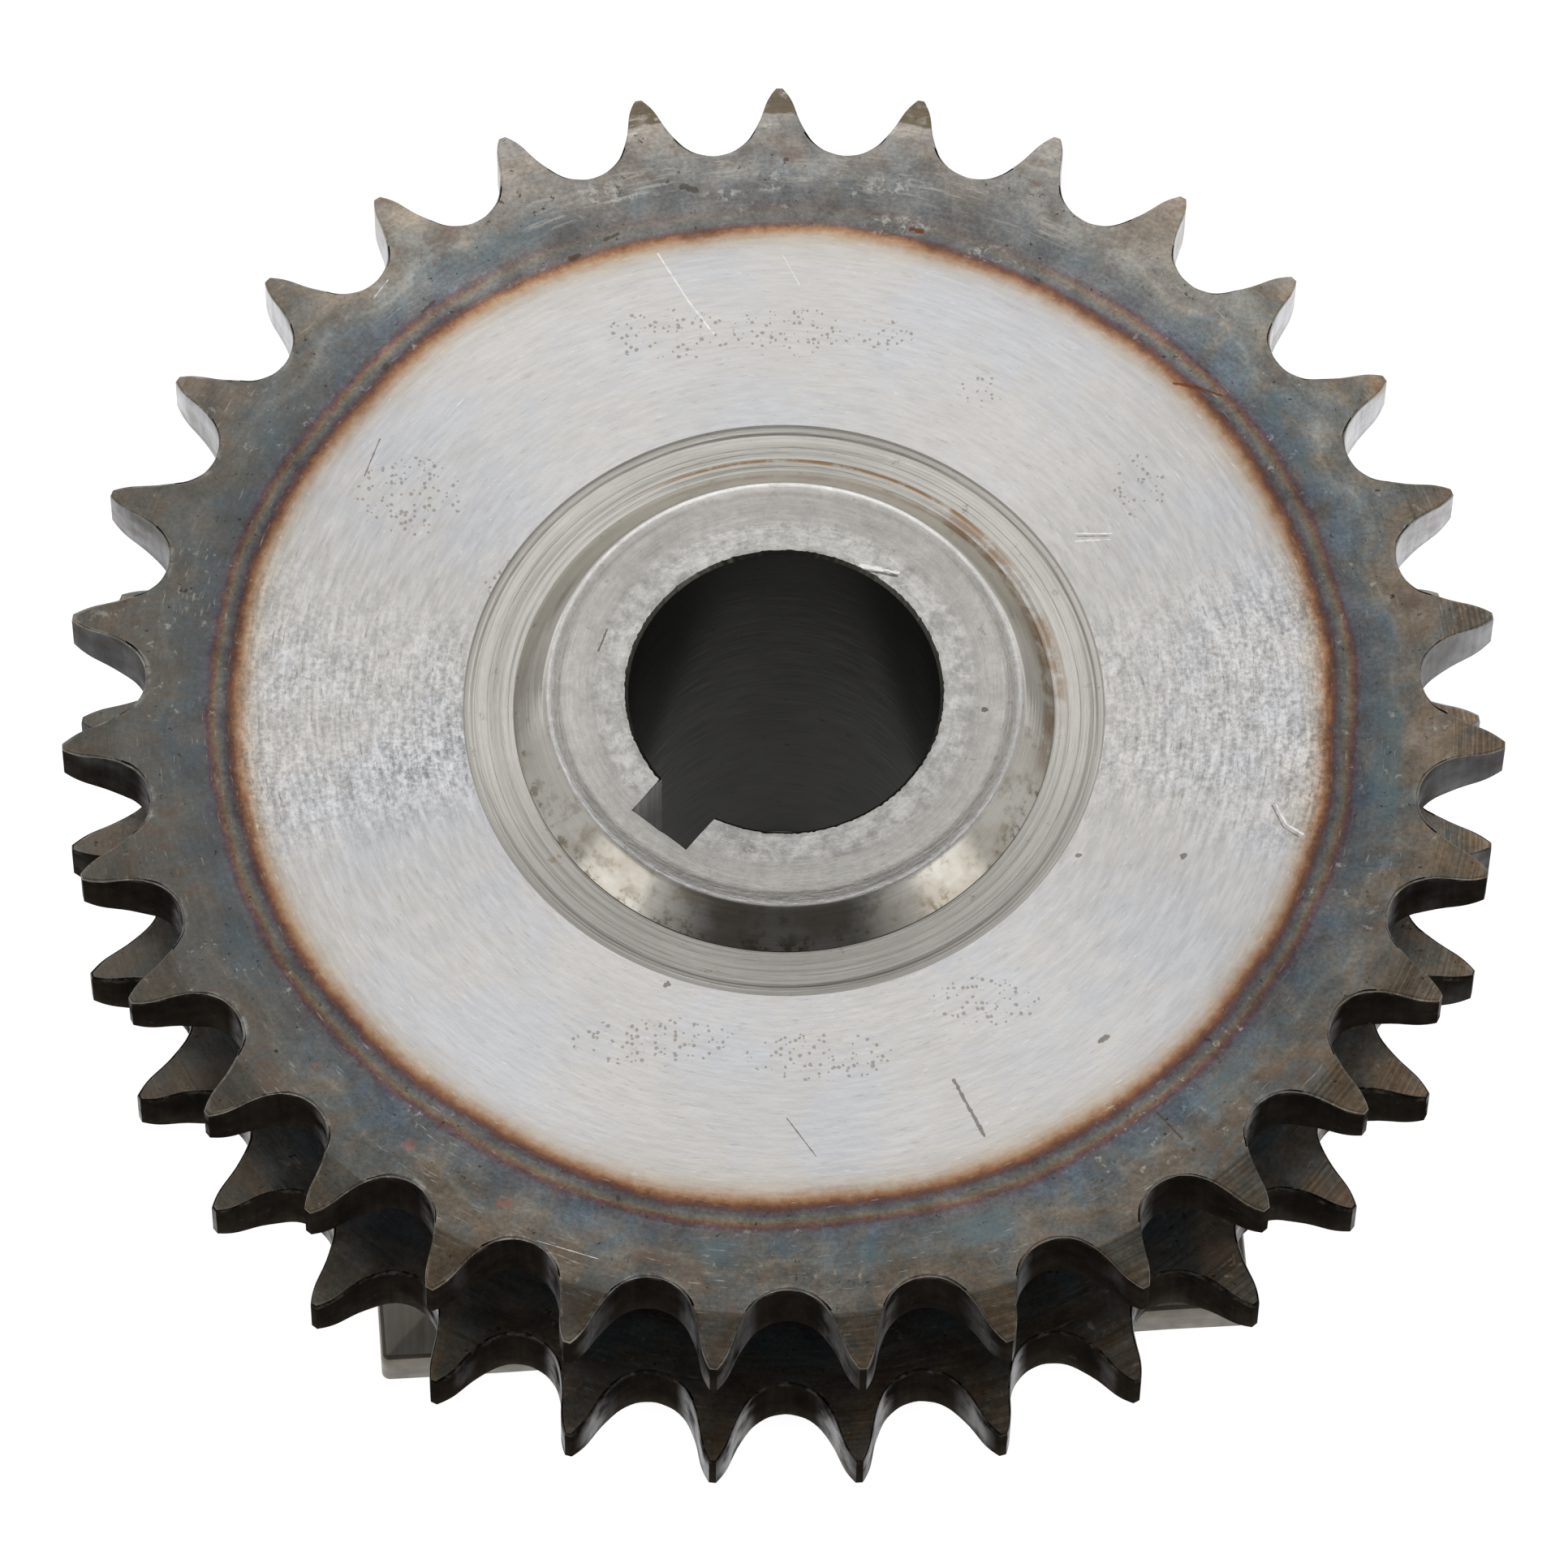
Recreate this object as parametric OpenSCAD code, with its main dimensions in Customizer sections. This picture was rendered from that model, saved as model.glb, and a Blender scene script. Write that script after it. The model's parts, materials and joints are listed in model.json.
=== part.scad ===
// Double-single roller-chain sprocket: two toothed plates on one keyed hub, with a square rear plate.
// Z runs along the bore with z = 0 on the back face, and one tooth of each row points along +Y.

/* [Chain and teeth] */
// Number of teeth in each row
tooth_count = 31; // [25:1:45]
// Chain pitch
chain_pitch = 12.7; // [12:0.1:13.5]
// Diameter of the chain's rollers
roller_d = 7.92; // [7.5:0.01:8.3]
// Radius of a roller seat beyond the roller's own
seat_allowance = 0.17; // [0.06:0.01:0.22]
// Diameter over the tooth tips
outside_d = 132.5; // [131:0.1:133]
// Thickness of each toothed plate
row_t = 7.1; // [6.5:0.1:7.3]
// Distance from one row to the same face of the next
row_pitch = 20.7; // [18:0.1:22]
// Radial length of the bevel on the tooth tips
bevel_l = 5; // [3:0.1:6]
// Depth of that bevel at the tip, on each face
bevel_t = 1.15; // [0.5:0.05:1.6]

/* [Hub] */
// Overall length, from the back face to the nose
overall_l = 57.15; // [54:0.05:64]
// Diameter of the hub's barrel
hub_d = 49.6; // [46:0.1:52]
// Height of the nose above the front row
nose_h = 3.2; // [2.5:0.1:5]
// Outer diameter of the flat on the nose
nose_flat_d = 40.8; // [38:0.1:42]
// Diameter where the nose's edge bevel meets its conical flank
nose_edge_d = 43.7; // [43:0.1:45]
// Depth of that edge bevel
nose_edge_t = 0.35; // [0.1:0.05:0.8]
// Diameter of the bore
bore_d = 28.575; // [25:0.005:30]
// Edge chamfer at both ends of the bore
bore_chamfer = 0.4; // [0.2:0.1:0.8]

/* [Keyway] */
// Width of the keyway
key_w = 6.35; // [5:0.05:7]
// Distance from the axis to the bottom of the keyway
key_r = 18.2; // [17:0.1:19]
// Direction of the keyway, counted from +X
key_angle = 231; // [0:1:359]

/* [Joint between hub and front row] */
// Diameter of the turned recess round the nose
recess_d = 58.8; // [56:0.1:64]
// Depth of that recess
recess_t = 0.3; // [0.1:0.05:0.6]
// Diameter of the weld where it shows in the recess
front_weld_d = 57.8; // [54:0.1:59]
// Depth of the welded groove
front_weld_t = 4.2; // [2:0.1:5]

/* [Rear] */
// Outer diameter of the ring between the rows
spacer_d = 72; // [64:1:100]
// Leg of the fillet weld behind the rear row
rear_weld_leg = 4; // [3:0.1:5]
// Leg of the fillet weld on the square plate
plate_weld_leg = 4; // [3:0.1:5]

/* [Square plate] */
// Side of the square plate
plate_side = 81.8; // [76:0.1:90]
// Thickness of the square plate
plate_t = 4.76; // [4:0.01:6]
// Turn of the square plate about the bore
plate_turn = 3.9; // [0:0.1:10]
// How far the plate sits off the bore axis along its own first side
plate_shift = 0.5; // [0:0.1:1]
// Corner radius of the square plate
plate_corner_r = 0.8; // [0.4:0.1:3]

/* [Set screws] */
// Diameter of the set screws
screw_d = 6.2; // [5:0.05:6.2]
// Length of the set screws
screw_l = 6.35; // [5:0.05:8]
// Hex socket across its flats
socket_af = 3.18; // [2.5:0.01:3.2]
// Depth of the hex socket
socket_t = 2.6; // [2:0.1:3.5]
// Height of the set screws above the back face
screw_z = 15.4; // [14:0.1:17]

/* [Hidden] */

$fn = 96;
over = 1;              // cutters run this far past the faces they cut
seat_fit = 0.02;       // radial room between the barrel and what sits on it
screw_fit = 0.04;      // radial room round a set screw
cup_t = 0.6;           // depth of the cup in a set screw's point
cup_rim = 0.6;         // width of the flat rim round that cup
point_t = 0.9;         // length of a set screw's point chamfer
socket_lead = 0.3;     // chamfer at a set screw's outer end
seat_steps = 14;       // straight pieces in a roller seat
work_steps = 3;        // straight pieces in the working arc of a flank
top_steps = 5;         // straight pieces in the topping arc of a flank
weld_form = 1.4;       // roundness of a fillet weld: 1 is a quarter round, 2 is a straight slope
weld_step = 22.5;      // angle from one corner of a fillet weld's outline to the next

hub_r = hub_d / 2;
bore_r = bore_d / 2;
tip_r = outside_d / 2;
pitch_r = chain_pitch / (2 * sin(180 / tooth_count));
front_top = overall_l - nose_h;
front_z = front_top - row_t;
rear_z = front_z - row_pitch;
rear_top = rear_z + row_t;
recess_z = front_top - recess_t;
nose_edge_z = overall_l - nose_edge_t;
screw_r = screw_d / 2;
side_angle = key_angle + 90;

// Standard roller-chain tooth form: seat arc, working arc, short straight, topping arc.
// The numbers in it are the standard's own constants.
seat_a = 35 + 60 / tooth_count;
work_a = 18 - 56 / tooth_count;
top_a = 17 - 64 / tooth_count;
seat_r = 0.5 * roller_d + seat_allowance;
work_r = 0.8 * roller_d + seat_r;
straight_l = roller_d * (1.4 * sin(top_a) - 0.8 * sin(work_a));
flank_turn = 90 - seat_a + work_a;
work_c = [-0.8 * roller_d * cos(seat_a), pitch_r + 0.8 * roller_d * sin(seat_a)];
work_end = work_c + work_r * [sin(flank_turn), -cos(flank_turn)];
straight_end = work_end + straight_l * [cos(flank_turn), sin(flank_turn)];
top_r = roller_d * (0.8 * cos(work_a) + 1.4 * cos(top_a)) - work_r;
top_c = straight_end + top_r * [sin(flank_turn), -cos(flank_turn)];

// The topping arc ends where it meets the circle over the tips.
top_c_dist = norm(top_c);
toward_axis = 180 + atan2(top_c.y, top_c.x);
top_corner = acos((top_c_dist ^ 2 + top_r ^ 2 - tip_r ^ 2) / (2 * top_c_dist * top_r));
top_end = toward_axis - top_corner - 90;

function seat_point(a) = [seat_r * sin(a), pitch_r - seat_r * cos(a)];
function work_point(a) = work_c + work_r * [sin(a), -cos(a)];
function top_point(a) = top_c - top_r * [sin(a), -cos(a)];
function mirrored(p) = [-p.x, p.y];
function turned(p, a) = [p.x * cos(a) - p.y * sin(a), p.x * sin(a) + p.y * cos(a)];
function share(from, to, i, steps) = from + (to - from) * i / steps;

// One flank of the tooth gap that opens along +Y, from the roller seat's end to the tip.
gap_flank = concat(
    [for (i = [0:work_steps]) work_point(share(90 - seat_a, flank_turn, i, work_steps))],
    [for (i = [0:top_steps]) top_point(share(flank_turn, top_end, i, top_steps))]
);
seat = [for (i = [1:seat_steps - 1]) seat_point(share(90 - seat_a, seat_a - 90, i, seat_steps))];
last = len(gap_flank) - 1;
gap = concat([for (i = [0:last]) gap_flank[last - i]], seat, [for (p = gap_flank) mirrored(p)]);
row_outline = [for (i = [0:tooth_count - 1], p = gap) turned(p, (i + 0.5) * 360 / tooth_count)];

module ring(r_out, r_in, h) {
    difference() {
        cylinder(r = r_out, h = h);
        translate([0, 0, -over]) cylinder(r = r_in, h = h + 2 * over);
    }
}

// One row of teeth with its back face on z = 0. front_edge is the outline of its front face
// inside the bevelled rim, from the outside to the barrel.
module toothed_plate(front_edge) {
    rim_r = tip_r - bevel_l;
    past_tip = bevel_l + over;
    bevel_end = bevel_t * past_tip / bevel_l;
    intersection() {
        translate([0, 0, -over]) linear_extrude(row_t + 2 * over) polygon(row_outline);
        rotate_extrude() polygon(concat(
            [[hub_r + seat_fit, 0], [rim_r, 0], [rim_r + past_tip, bevel_end]],
            [[rim_r + past_tip, row_t - bevel_end], [rim_r, row_t]], front_edge
        ));
    }
}

// Fillet weld round the barrel, with its wide end on z = 0 and its toe up the barrel.
module fillet_weld(leg) {
    inner = hub_r + seat_fit;
    bead = [for (a = [0:weld_step:90]) [inner + leg * cos(a) ^ weld_form, leg * sin(a) ^ weld_form]];
    rotate_extrude() polygon(concat([[inner, 0]], bead));
}

// Runs along +X from the bore axis at a cross hole's height.
module at_cross_hole(angle) {
    translate([0, 0, screw_z]) rotate([0, 0, angle]) rotate([0, 90, 0]) children();
}

module hub() {
    color([0.72, 0.72, 0.70]) difference() {
        rotate_extrude() polygon([
            [0, 0], [hub_r, 0], [hub_r, recess_z],
            [nose_edge_d / 2, nose_edge_z], [nose_flat_d / 2, overall_l], [0, overall_l]
        ]);
        translate([0, 0, -over]) cylinder(r = bore_r, h = overall_l + 2 * over);
        translate([0, 0, overall_l - bore_chamfer]) bore_edge();
        translate([0, 0, bore_chamfer]) mirror([0, 0, 1]) bore_edge();
        rotate([0, 0, key_angle]) translate([0, -key_w / 2, -over])
            cube([key_r, key_w, overall_l + 2 * over]);
        at_cross_hole(key_angle) translate([0, 0, key_r - over]) cross_hole();
        at_cross_hole(side_angle) translate([0, 0, bore_r - over]) cross_hole();
    }
}

// Cutter for a set screw's hole, from z = 0 outwards.
module cross_hole() {
    cylinder(r = screw_r + screw_fit, h = hub_r);
}

// Cutter for the chamfer at one end of the bore.
module bore_edge() {
    cylinder(r1 = bore_r, r2 = bore_r + bore_chamfer + over, h = bore_chamfer + over);
}

module front_sprocket() {
    recess_floor = row_t - recess_t;
    color([0.62, 0.60, 0.57]) translate([0, 0, front_z]) toothed_plate([
        [recess_d / 2, row_t], [recess_d / 2, recess_floor], [front_weld_d / 2, recess_floor],
        [hub_r + seat_fit, row_t - front_weld_t]
    ]);
}

module rear_sprocket() {
    color([0.36, 0.34, 0.32]) translate([0, 0, rear_z]) toothed_plate([[hub_r + seat_fit, row_t]]);
}

module row_spacer() {
    color([0.30, 0.29, 0.28]) translate([0, 0, rear_top])
        ring(spacer_d / 2, hub_r + seat_fit, front_z - rear_top);
}

// Fills the groove between the barrel and the front plate, flush with the recess.
module front_weld() {
    inner = hub_r + seat_fit;
    color([0.70, 0.68, 0.62]) rotate_extrude() polygon([
        [inner, front_top - front_weld_t], [front_weld_d / 2, recess_z], [inner, recess_z]
    ]);
}

module rear_weld() {
    color([0.42, 0.38, 0.34]) translate([0, 0, rear_z]) mirror([0, 0, 1]) fillet_weld(rear_weld_leg);
}

module square_plate() {
    half = plate_side / 2;
    color([0.45, 0.44, 0.42]) difference() {
        rotate([0, 0, plate_turn]) translate([plate_shift - half, -half, 0])
            linear_extrude(plate_t) rounded_square();
        translate([0, 0, -over]) cylinder(r = hub_r + seat_fit, h = plate_t + 2 * over);
    }
}

module rounded_square() {
    r = plate_corner_r;
    translate([r, 0]) square([plate_side - 2 * r, plate_side]);
    translate([0, r]) square([plate_side, plate_side - 2 * r]);
    for (x = [r, plate_side - r], y = [r, plate_side - r]) translate([x, y]) circle(r = r);
}

module plate_weld() {
    color([0.42, 0.38, 0.34]) translate([0, 0, plate_t]) fillet_weld(plate_weld_leg);
}

// Socket set screw with its cup point on z = 0 and its socket upwards.
module set_screw() {
    color([0.12, 0.12, 0.13]) difference() {
        rotate_extrude() polygon([
            [0, cup_t], [screw_r - point_t - cup_rim, 0], [screw_r - point_t, 0], [screw_r, point_t],
            [screw_r, screw_l - socket_lead], [screw_r - socket_lead, screw_l], [0, screw_l]
        ]);
        translate([0, 0, screw_l - socket_t])
            cylinder(d = socket_af / cos(30), h = socket_t + over, $fn = 6);
    }
}

// Sits with its point on top of the key.
module key_set_screw() {
    at_cross_hole(key_angle) translate([0, 0, key_r]) set_screw();
}

// Sits with its point against the shaft.
module side_set_screw() {
    at_cross_hole(side_angle) translate([0, 0, bore_r + seat_fit]) set_screw();
}

hub();
front_sprocket();
rear_sprocket();
row_spacer();
front_weld();
rear_weld();
square_plate();
plate_weld();
key_set_screw();
side_set_screw();
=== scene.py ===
"""Looks of the double-row chain sprocket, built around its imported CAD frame."""
import json
import math
import random

import bpy
import numpy as np
from mathutils import Matrix, Vector


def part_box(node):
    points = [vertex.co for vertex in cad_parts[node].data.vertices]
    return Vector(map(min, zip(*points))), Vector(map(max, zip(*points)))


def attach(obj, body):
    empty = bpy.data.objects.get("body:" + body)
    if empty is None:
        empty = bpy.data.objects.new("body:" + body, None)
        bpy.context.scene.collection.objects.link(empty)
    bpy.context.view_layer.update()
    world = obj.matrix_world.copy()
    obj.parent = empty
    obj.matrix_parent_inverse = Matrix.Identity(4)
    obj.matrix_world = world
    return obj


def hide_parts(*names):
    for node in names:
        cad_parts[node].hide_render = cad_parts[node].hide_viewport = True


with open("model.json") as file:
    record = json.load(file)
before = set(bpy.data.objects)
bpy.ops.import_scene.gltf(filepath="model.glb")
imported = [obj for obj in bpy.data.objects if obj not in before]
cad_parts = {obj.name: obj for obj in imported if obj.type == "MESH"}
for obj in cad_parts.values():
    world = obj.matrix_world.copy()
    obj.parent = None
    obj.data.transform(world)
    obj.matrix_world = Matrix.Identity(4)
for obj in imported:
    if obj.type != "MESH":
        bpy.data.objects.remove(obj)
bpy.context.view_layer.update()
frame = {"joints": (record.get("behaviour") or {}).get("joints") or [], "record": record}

# ---------------------------------------------------------------- sizes from the frame (metres)
MM = 0.001
MOUNTS = {m["name"]: m for m in frame["record"]["mounts"]}
FRONT_LO, FRONT_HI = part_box("front_sprocket")
REAR_LO, REAR_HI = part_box("rear_sprocket")
SPACER_LO, SPACER_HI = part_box("row_spacer")
FRONT_WELD_LO, FRONT_WELD_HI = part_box("front_weld")
PLATE_LO, PLATE_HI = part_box("square_plate")
HUB_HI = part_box("hub")[1]
REAR_WELD_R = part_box("rear_weld")[1].x
PLATE_WELD_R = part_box("plate_weld")[1].x
WELD_R = FRONT_WELD_HI.x
BORE_R = MOUNTS["bore"]["dims"]["r_mm"] * MM
HUB_R = HUB_HI.x
TIP_R = FRONT_HI.y
KEY_ANGLE = math.atan2(MOUNTS["keyway"]["pos_m"][1], MOUNTS["keyway"]["pos_m"][0])

# ---------------------------------------------------------------- sizes that the frame's boxes don't give
TEETH = 31
PITCH = 12.7 * MM
ROLLER_D = 7.92 * MM
SEAT_ALLOWANCE = 0.17 * MM
ROOT_R = 52 * MM  # circle inside the tooth gaps, where the flat of a row ends
BEVEL_L = 5 * MM  # length of the bevel at a tooth's tip
BEVEL_T = 1.15 * MM  # what the bevel takes off each face
EDGE_BAND_W = 1.4 * MM  # width of the band along the tooth edges that is scuffed and carries a painted highlight
KEY_W = 6.35 * MM
KEY_R = 18.2 * MM  # bottom of the keyway, from the axis
NOSE_EDGE_R = 21.85 * MM
NOSE_EDGE_T = 0.35 * MM
NOSE_FLAT_R = 20.4 * MM
RECESS_R = 29.4 * MM
BARREL_R = HUB_R + 0.02 * MM  # holes of the pieces that sit on the hub's barrel
SCREW_R = 3.1 * MM
SCREW_FIT = 0.04 * MM
SOCKET_AF = 3.18 * MM
SOCKET_T = 2.6 * MM
PLATE_TURN = math.radians(3.9)
PLATE_SIDE = 81.8 * MM
PLATE_SHIFT = 0.5 * MM


# ================================================================ mesh helpers
def make_object(name, verts, faces, materials, face_materials=None, smooth_angle=40):
    """A mesh object with smooth shading that breaks at edges sharper than smooth_angle."""
    mesh = bpy.data.meshes.new(name)
    mesh.from_pydata([tuple(v) for v in verts], [], faces)
    for material in materials:
        mesh.materials.append(material)
    if face_materials is not None:
        mesh.polygons.foreach_set("material_index", face_materials)
    mesh.polygons.foreach_set("use_smooth", [True] * len(mesh.polygons))
    mesh.set_sharp_from_angle(angle=math.radians(smooth_angle))
    mesh.validate()
    obj = bpy.data.objects.new(name, mesh)
    bpy.context.scene.collection.objects.link(obj)
    return obj


def loft(name, columns, materials, row_materials=None, smooth_angle=40, wrap=True):
    """Closed mesh from columns, an array (column, profile point, xyz). It always closes round the columns,
    and along the profile too unless wrap is off: then the profile's first and last points are on the axis.
    row_materials gives the material of the faces that start at each profile point."""
    n_col, n_row, _ = columns.shape
    index = np.arange(n_col * n_row).reshape(n_col, n_row)
    if not wrap:
        index[:, 0] = 0
        index[:, -1] = n_row - 1
    faces, kinds = [], []
    for i in range(n_col):
        j = (i + 1) % n_col
        for k in range(n_row if wrap else n_row - 1):
            m = (k + 1) % n_row
            corners = [int(v) for v in (index[i, k], index[j, k], index[j, m], index[i, m])]
            faces.append(tuple(dict.fromkeys(corners)))
            kinds.append(row_materials[k] if row_materials else 0)
    used = sorted({v for face in faces for v in face})
    place = {v: i for i, v in enumerate(used)}
    faces = [tuple(place[v] for v in face) for face in faces]
    return make_object(name, columns.reshape(-1, 3)[used], faces, materials, kinds, smooth_angle)


def lathe(name, profile, materials, steps, ripple, smooth_angle=40):
    """Solid of revolution from a closed (r, z) profile, each point of which ripple(angle, r, z) may move."""
    columns = np.zeros((steps, len(profile), 3))
    for i in range(steps):
        a = 2 * math.pi * i / steps
        for k, point in enumerate(profile):
            r, z = ripple(a, *point)
            columns[i, k] = round_point(r, a, z)
    return loft(name, columns, materials, None, smooth_angle)


def round_point(r, a, z):
    return (r * math.cos(a), r * math.sin(a), z)


def wobble(a, seed, *terms):
    """Smooth periodic irregularity of an angle: terms are (waves per turn, size)."""
    rng = random.Random(seed)
    return sum(size * math.sin(waves * a + rng.uniform(0, 2 * math.pi)) for waves, size in terms)


def finish_piece(obj, node, body="sprocket"):
    """Puts a piece on its body in place of its CAD node."""
    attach(obj, body)
    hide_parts(node)


# ================================================================ node helpers
def srgb(r, g, b):
    """Linear colour from 0-255 display values."""
    def lin(c):
        c /= 255
        return c / 12.92 if c <= 0.04045 else ((c + 0.055) / 1.055) ** 2.4
    return (lin(r), lin(g), lin(b), 1.0)


def arithmetic(operation):
    """Method that makes a math node of this operation. Values after the second are taken in one by one."""
    def method(self, first, second=0.0, *more):
        value = self.node("Math", {0: first, 1: second}, operation=operation).outputs[0]
        return method(self, value, *more) if more else value
    return method


class Nodes:
    """A node tree, with one short method for each kind of node."""
    add = arithmetic("ADD")
    sub = arithmetic("SUBTRACT")
    mul = arithmetic("MULTIPLY")
    div = arithmetic("DIVIDE")
    min = arithmetic("MINIMUM")
    max = arithmetic("MAXIMUM")
    less = arithmetic("LESS_THAN")
    greater = arithmetic("GREATER_THAN")
    abs = arithmetic("ABSOLUTE")
    sqrt = arithmetic("SQRT")
    sin = arithmetic("SINE")
    cos = arithmetic("COSINE")
    atan2 = arithmetic("ARCTAN2")

    def __init__(self, tree, place="Object"):
        self.tree = tree
        places = self.node("TexCoord", {}).outputs
        self.coord, self.normal = places[place], places["Normal"]

    def link(self, value, socket):
        if isinstance(value, bpy.types.NodeSocket):
            self.tree.links.new(value, socket)
        else:
            socket.default_value = value

    def node(self, kind, inputs, **settings):
        """A new node. inputs maps the names or numbers of its inputs to sockets or plain values."""
        node = self.tree.nodes.new("ShaderNode" + kind)
        for key, value in settings.items():
            setattr(node, key, value)
        for key, value in inputs.items():
            self.link(value, node.inputs[key])
        return node

    def vector_math(self, op, a, b=(0, 0, 0)):
        outputs = self.node("VectorMath", {0: a, 1: b}, operation=op).outputs
        return outputs["Value"] if op in ("LENGTH", "DOT_PRODUCT", "DISTANCE") else outputs[0]

    def split(self, vector):
        return self.node("SeparateXYZ", {0: vector}).outputs

    def combine(self, x=0.0, y=0.0, z=0.0):
        return self.node("CombineXYZ", {0: x, 1: y, 2: z}).outputs[0]

    def noise(self, scale, detail=3.0, rough=0.5, vector=None, distortion=0.0):
        inputs = {"Vector": self.coord if vector is None else vector, "Scale": scale, "Detail": detail,
                  "Roughness": rough, "Distortion": distortion}
        return self.node("TexNoise", inputs).outputs["Fac"]

    def stretched(self, scales, detail, rough):
        """Noise with its own scale along X, Y and Z."""
        parts = [self.mul(part, scale) for part, scale in zip(self.split(self.coord), scales)]
        return self.noise(1.0, detail, rough, self.combine(*parts))

    def cells(self, scale):
        """(distance, random colour) of a Voronoi pattern."""
        outputs = self.node("TexVoronoi", {"Vector": self.coord, "Scale": scale}).outputs
        return outputs["Distance"], outputs["Color"]

    def smooth(self, value, low, high, out_low=0.0, out_high=1.0):
        """Smooth step from out_low where value is low to out_high where it is high. It stays in range without
        the node's clamp, which would cost the renderer room."""
        inputs = {"Value": value, "From Min": low, "From Max": high, "To Min": out_low, "To Max": out_high}
        return self.node("MapRange", inputs, interpolation_type="SMOOTHSTEP", clamp=False).outputs["Result"]

    def ramp(self, value, stops):
        """Colour ramp over value, from (position, (r, g, b)) stops with positions in value's own units."""
        low, high = stops[0][0], stops[-1][0]
        share = self.node("MapRange", {"Value": value, "From Min": low, "From Max": high}, clamp=False)
        node = self.node("ValToRGB", {"Fac": share.outputs["Result"]})
        elements = node.color_ramp.elements
        while len(elements) < len(stops):
            elements.new(0.5)
        for element, (position, colour) in zip(elements, stops):
            element.position = (position - low) / (high - low)
            element.color = srgb(*colour)
        return node.outputs["Color"]

    def mix(self, share, a, b, blend="MIX"):
        inputs = {"Factor": share, "A": a, "B": b}
        return self.node("Mix", inputs, data_type="RGBA", blend_type=blend).outputs["Result"]

    def bump(self, height, distance, strength, below=None):
        inputs = {"Strength": strength, "Distance": distance, "Height": height}
        if below is not None:
            inputs["Normal"] = below
        return self.node("Bump", inputs).outputs["Normal"]

    def attribute(self, name):
        """Value of a point attribute of the mesh."""
        return self.node("Attribute", {}, attribute_name=name).outputs["Fac"]

    def stroke(self, x0, y0, x1, y1, half_width):
        """Mask of a thin straight mark between two points, in mm, with ragged sides."""
        here = self.vector_math("MULTIPLY", self.coord, (1 / MM, 1 / MM, 0))
        along = Vector((x1 - x0, y1 - y0, 0))
        rel = self.vector_math("SUBTRACT", here, (x0, y0, 0))
        share = self.div(self.vector_math("DOT_PRODUCT", rel, along), along.length_squared)
        share = self.min(self.max(share, 0.0), 1.0)
        nearest = self.vector_math("MULTIPLY", self.combine(share, share, share), along)
        distance = self.vector_math("DISTANCE", rel, nearest)
        ragged = self.smooth(self.noise(1800, 2), 0.3, 0.7, 0.6 * half_width, 1.4 * half_width)
        return self.less(distance, ragged)

    def strokes(self, marks):
        """One mask for several marks, given as (x0, y0, x1, y1, half width) in mm."""
        mask = self.stroke(*marks[0])
        for mark in marks[1:]:
            mask = self.max(mask, self.stroke(*mark))
        return mask

    def near(self, places):
        """1 inside soft ovals, given as (x, y, half length along X, half length along Y) in mm."""
        mask = None
        for x, y, half_x, half_y in places:
            rel = self.vector_math("SUBTRACT", self.coord, (x * MM, y * MM, 0))
            rel = self.vector_math("MULTIPLY", rel, (1 / (half_x * MM), 1 / (half_y * MM), 0))
            oval = self.smooth(self.vector_math("LENGTH", rel), 1.0, 0.5)
            mask = oval if mask is None else self.max(mask, oval)
        return mask


class Surface(Nodes):
    """A material whose colour is built up in layers: each layer method changes self.colour. Their share is
    how much of the layer shows, and their colours are display values."""

    def __init__(self, name, metallic=1.0):
        self.material = bpy.data.materials.new(name)
        self.material.use_nodes = True
        super().__init__(self.material.node_tree)
        self.bsdf = self.tree.nodes["Principled BSDF"]
        self.bsdf.inputs["Metallic"].default_value = metallic
        self.colour = None

    def base(self, share, low, high):
        """Starts with a mix of two colours."""
        self.colour = self.mix(share, srgb(*low), srgb(*high))

    def paint(self, mask, colour, strength=None):
        """Lays a colour over the mask, at the given strength."""
        if strength is not None:
            mask = self.mul(mask, strength)
        self.colour = self.mix(mask, self.colour, srgb(*colour))

    def multiply(self, tint, share=None):
        tinted = self.mix(1.0, self.colour, tint, "MULTIPLY")
        self.colour = tinted if share is None else self.mix(share, self.colour, tinted)

    def scale(self, amount, share=None):
        """Multiplies the colour by one number."""
        self.multiply(self.combine(amount, amount, amount), share)

    def tone(self, value, low, high, share=None):
        """Makes the colour darker or lighter by value, which runs from 0 to 1."""
        self.scale(self.smooth(value, 0.25, 0.75, low, high), share)

    def finish(self, roughness, normal):
        for value, key in ((self.colour, "Base Color"), (roughness, "Roughness"), (normal, "Normal")):
            self.link(value, self.bsdf.inputs[key])
        return self.material


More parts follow.
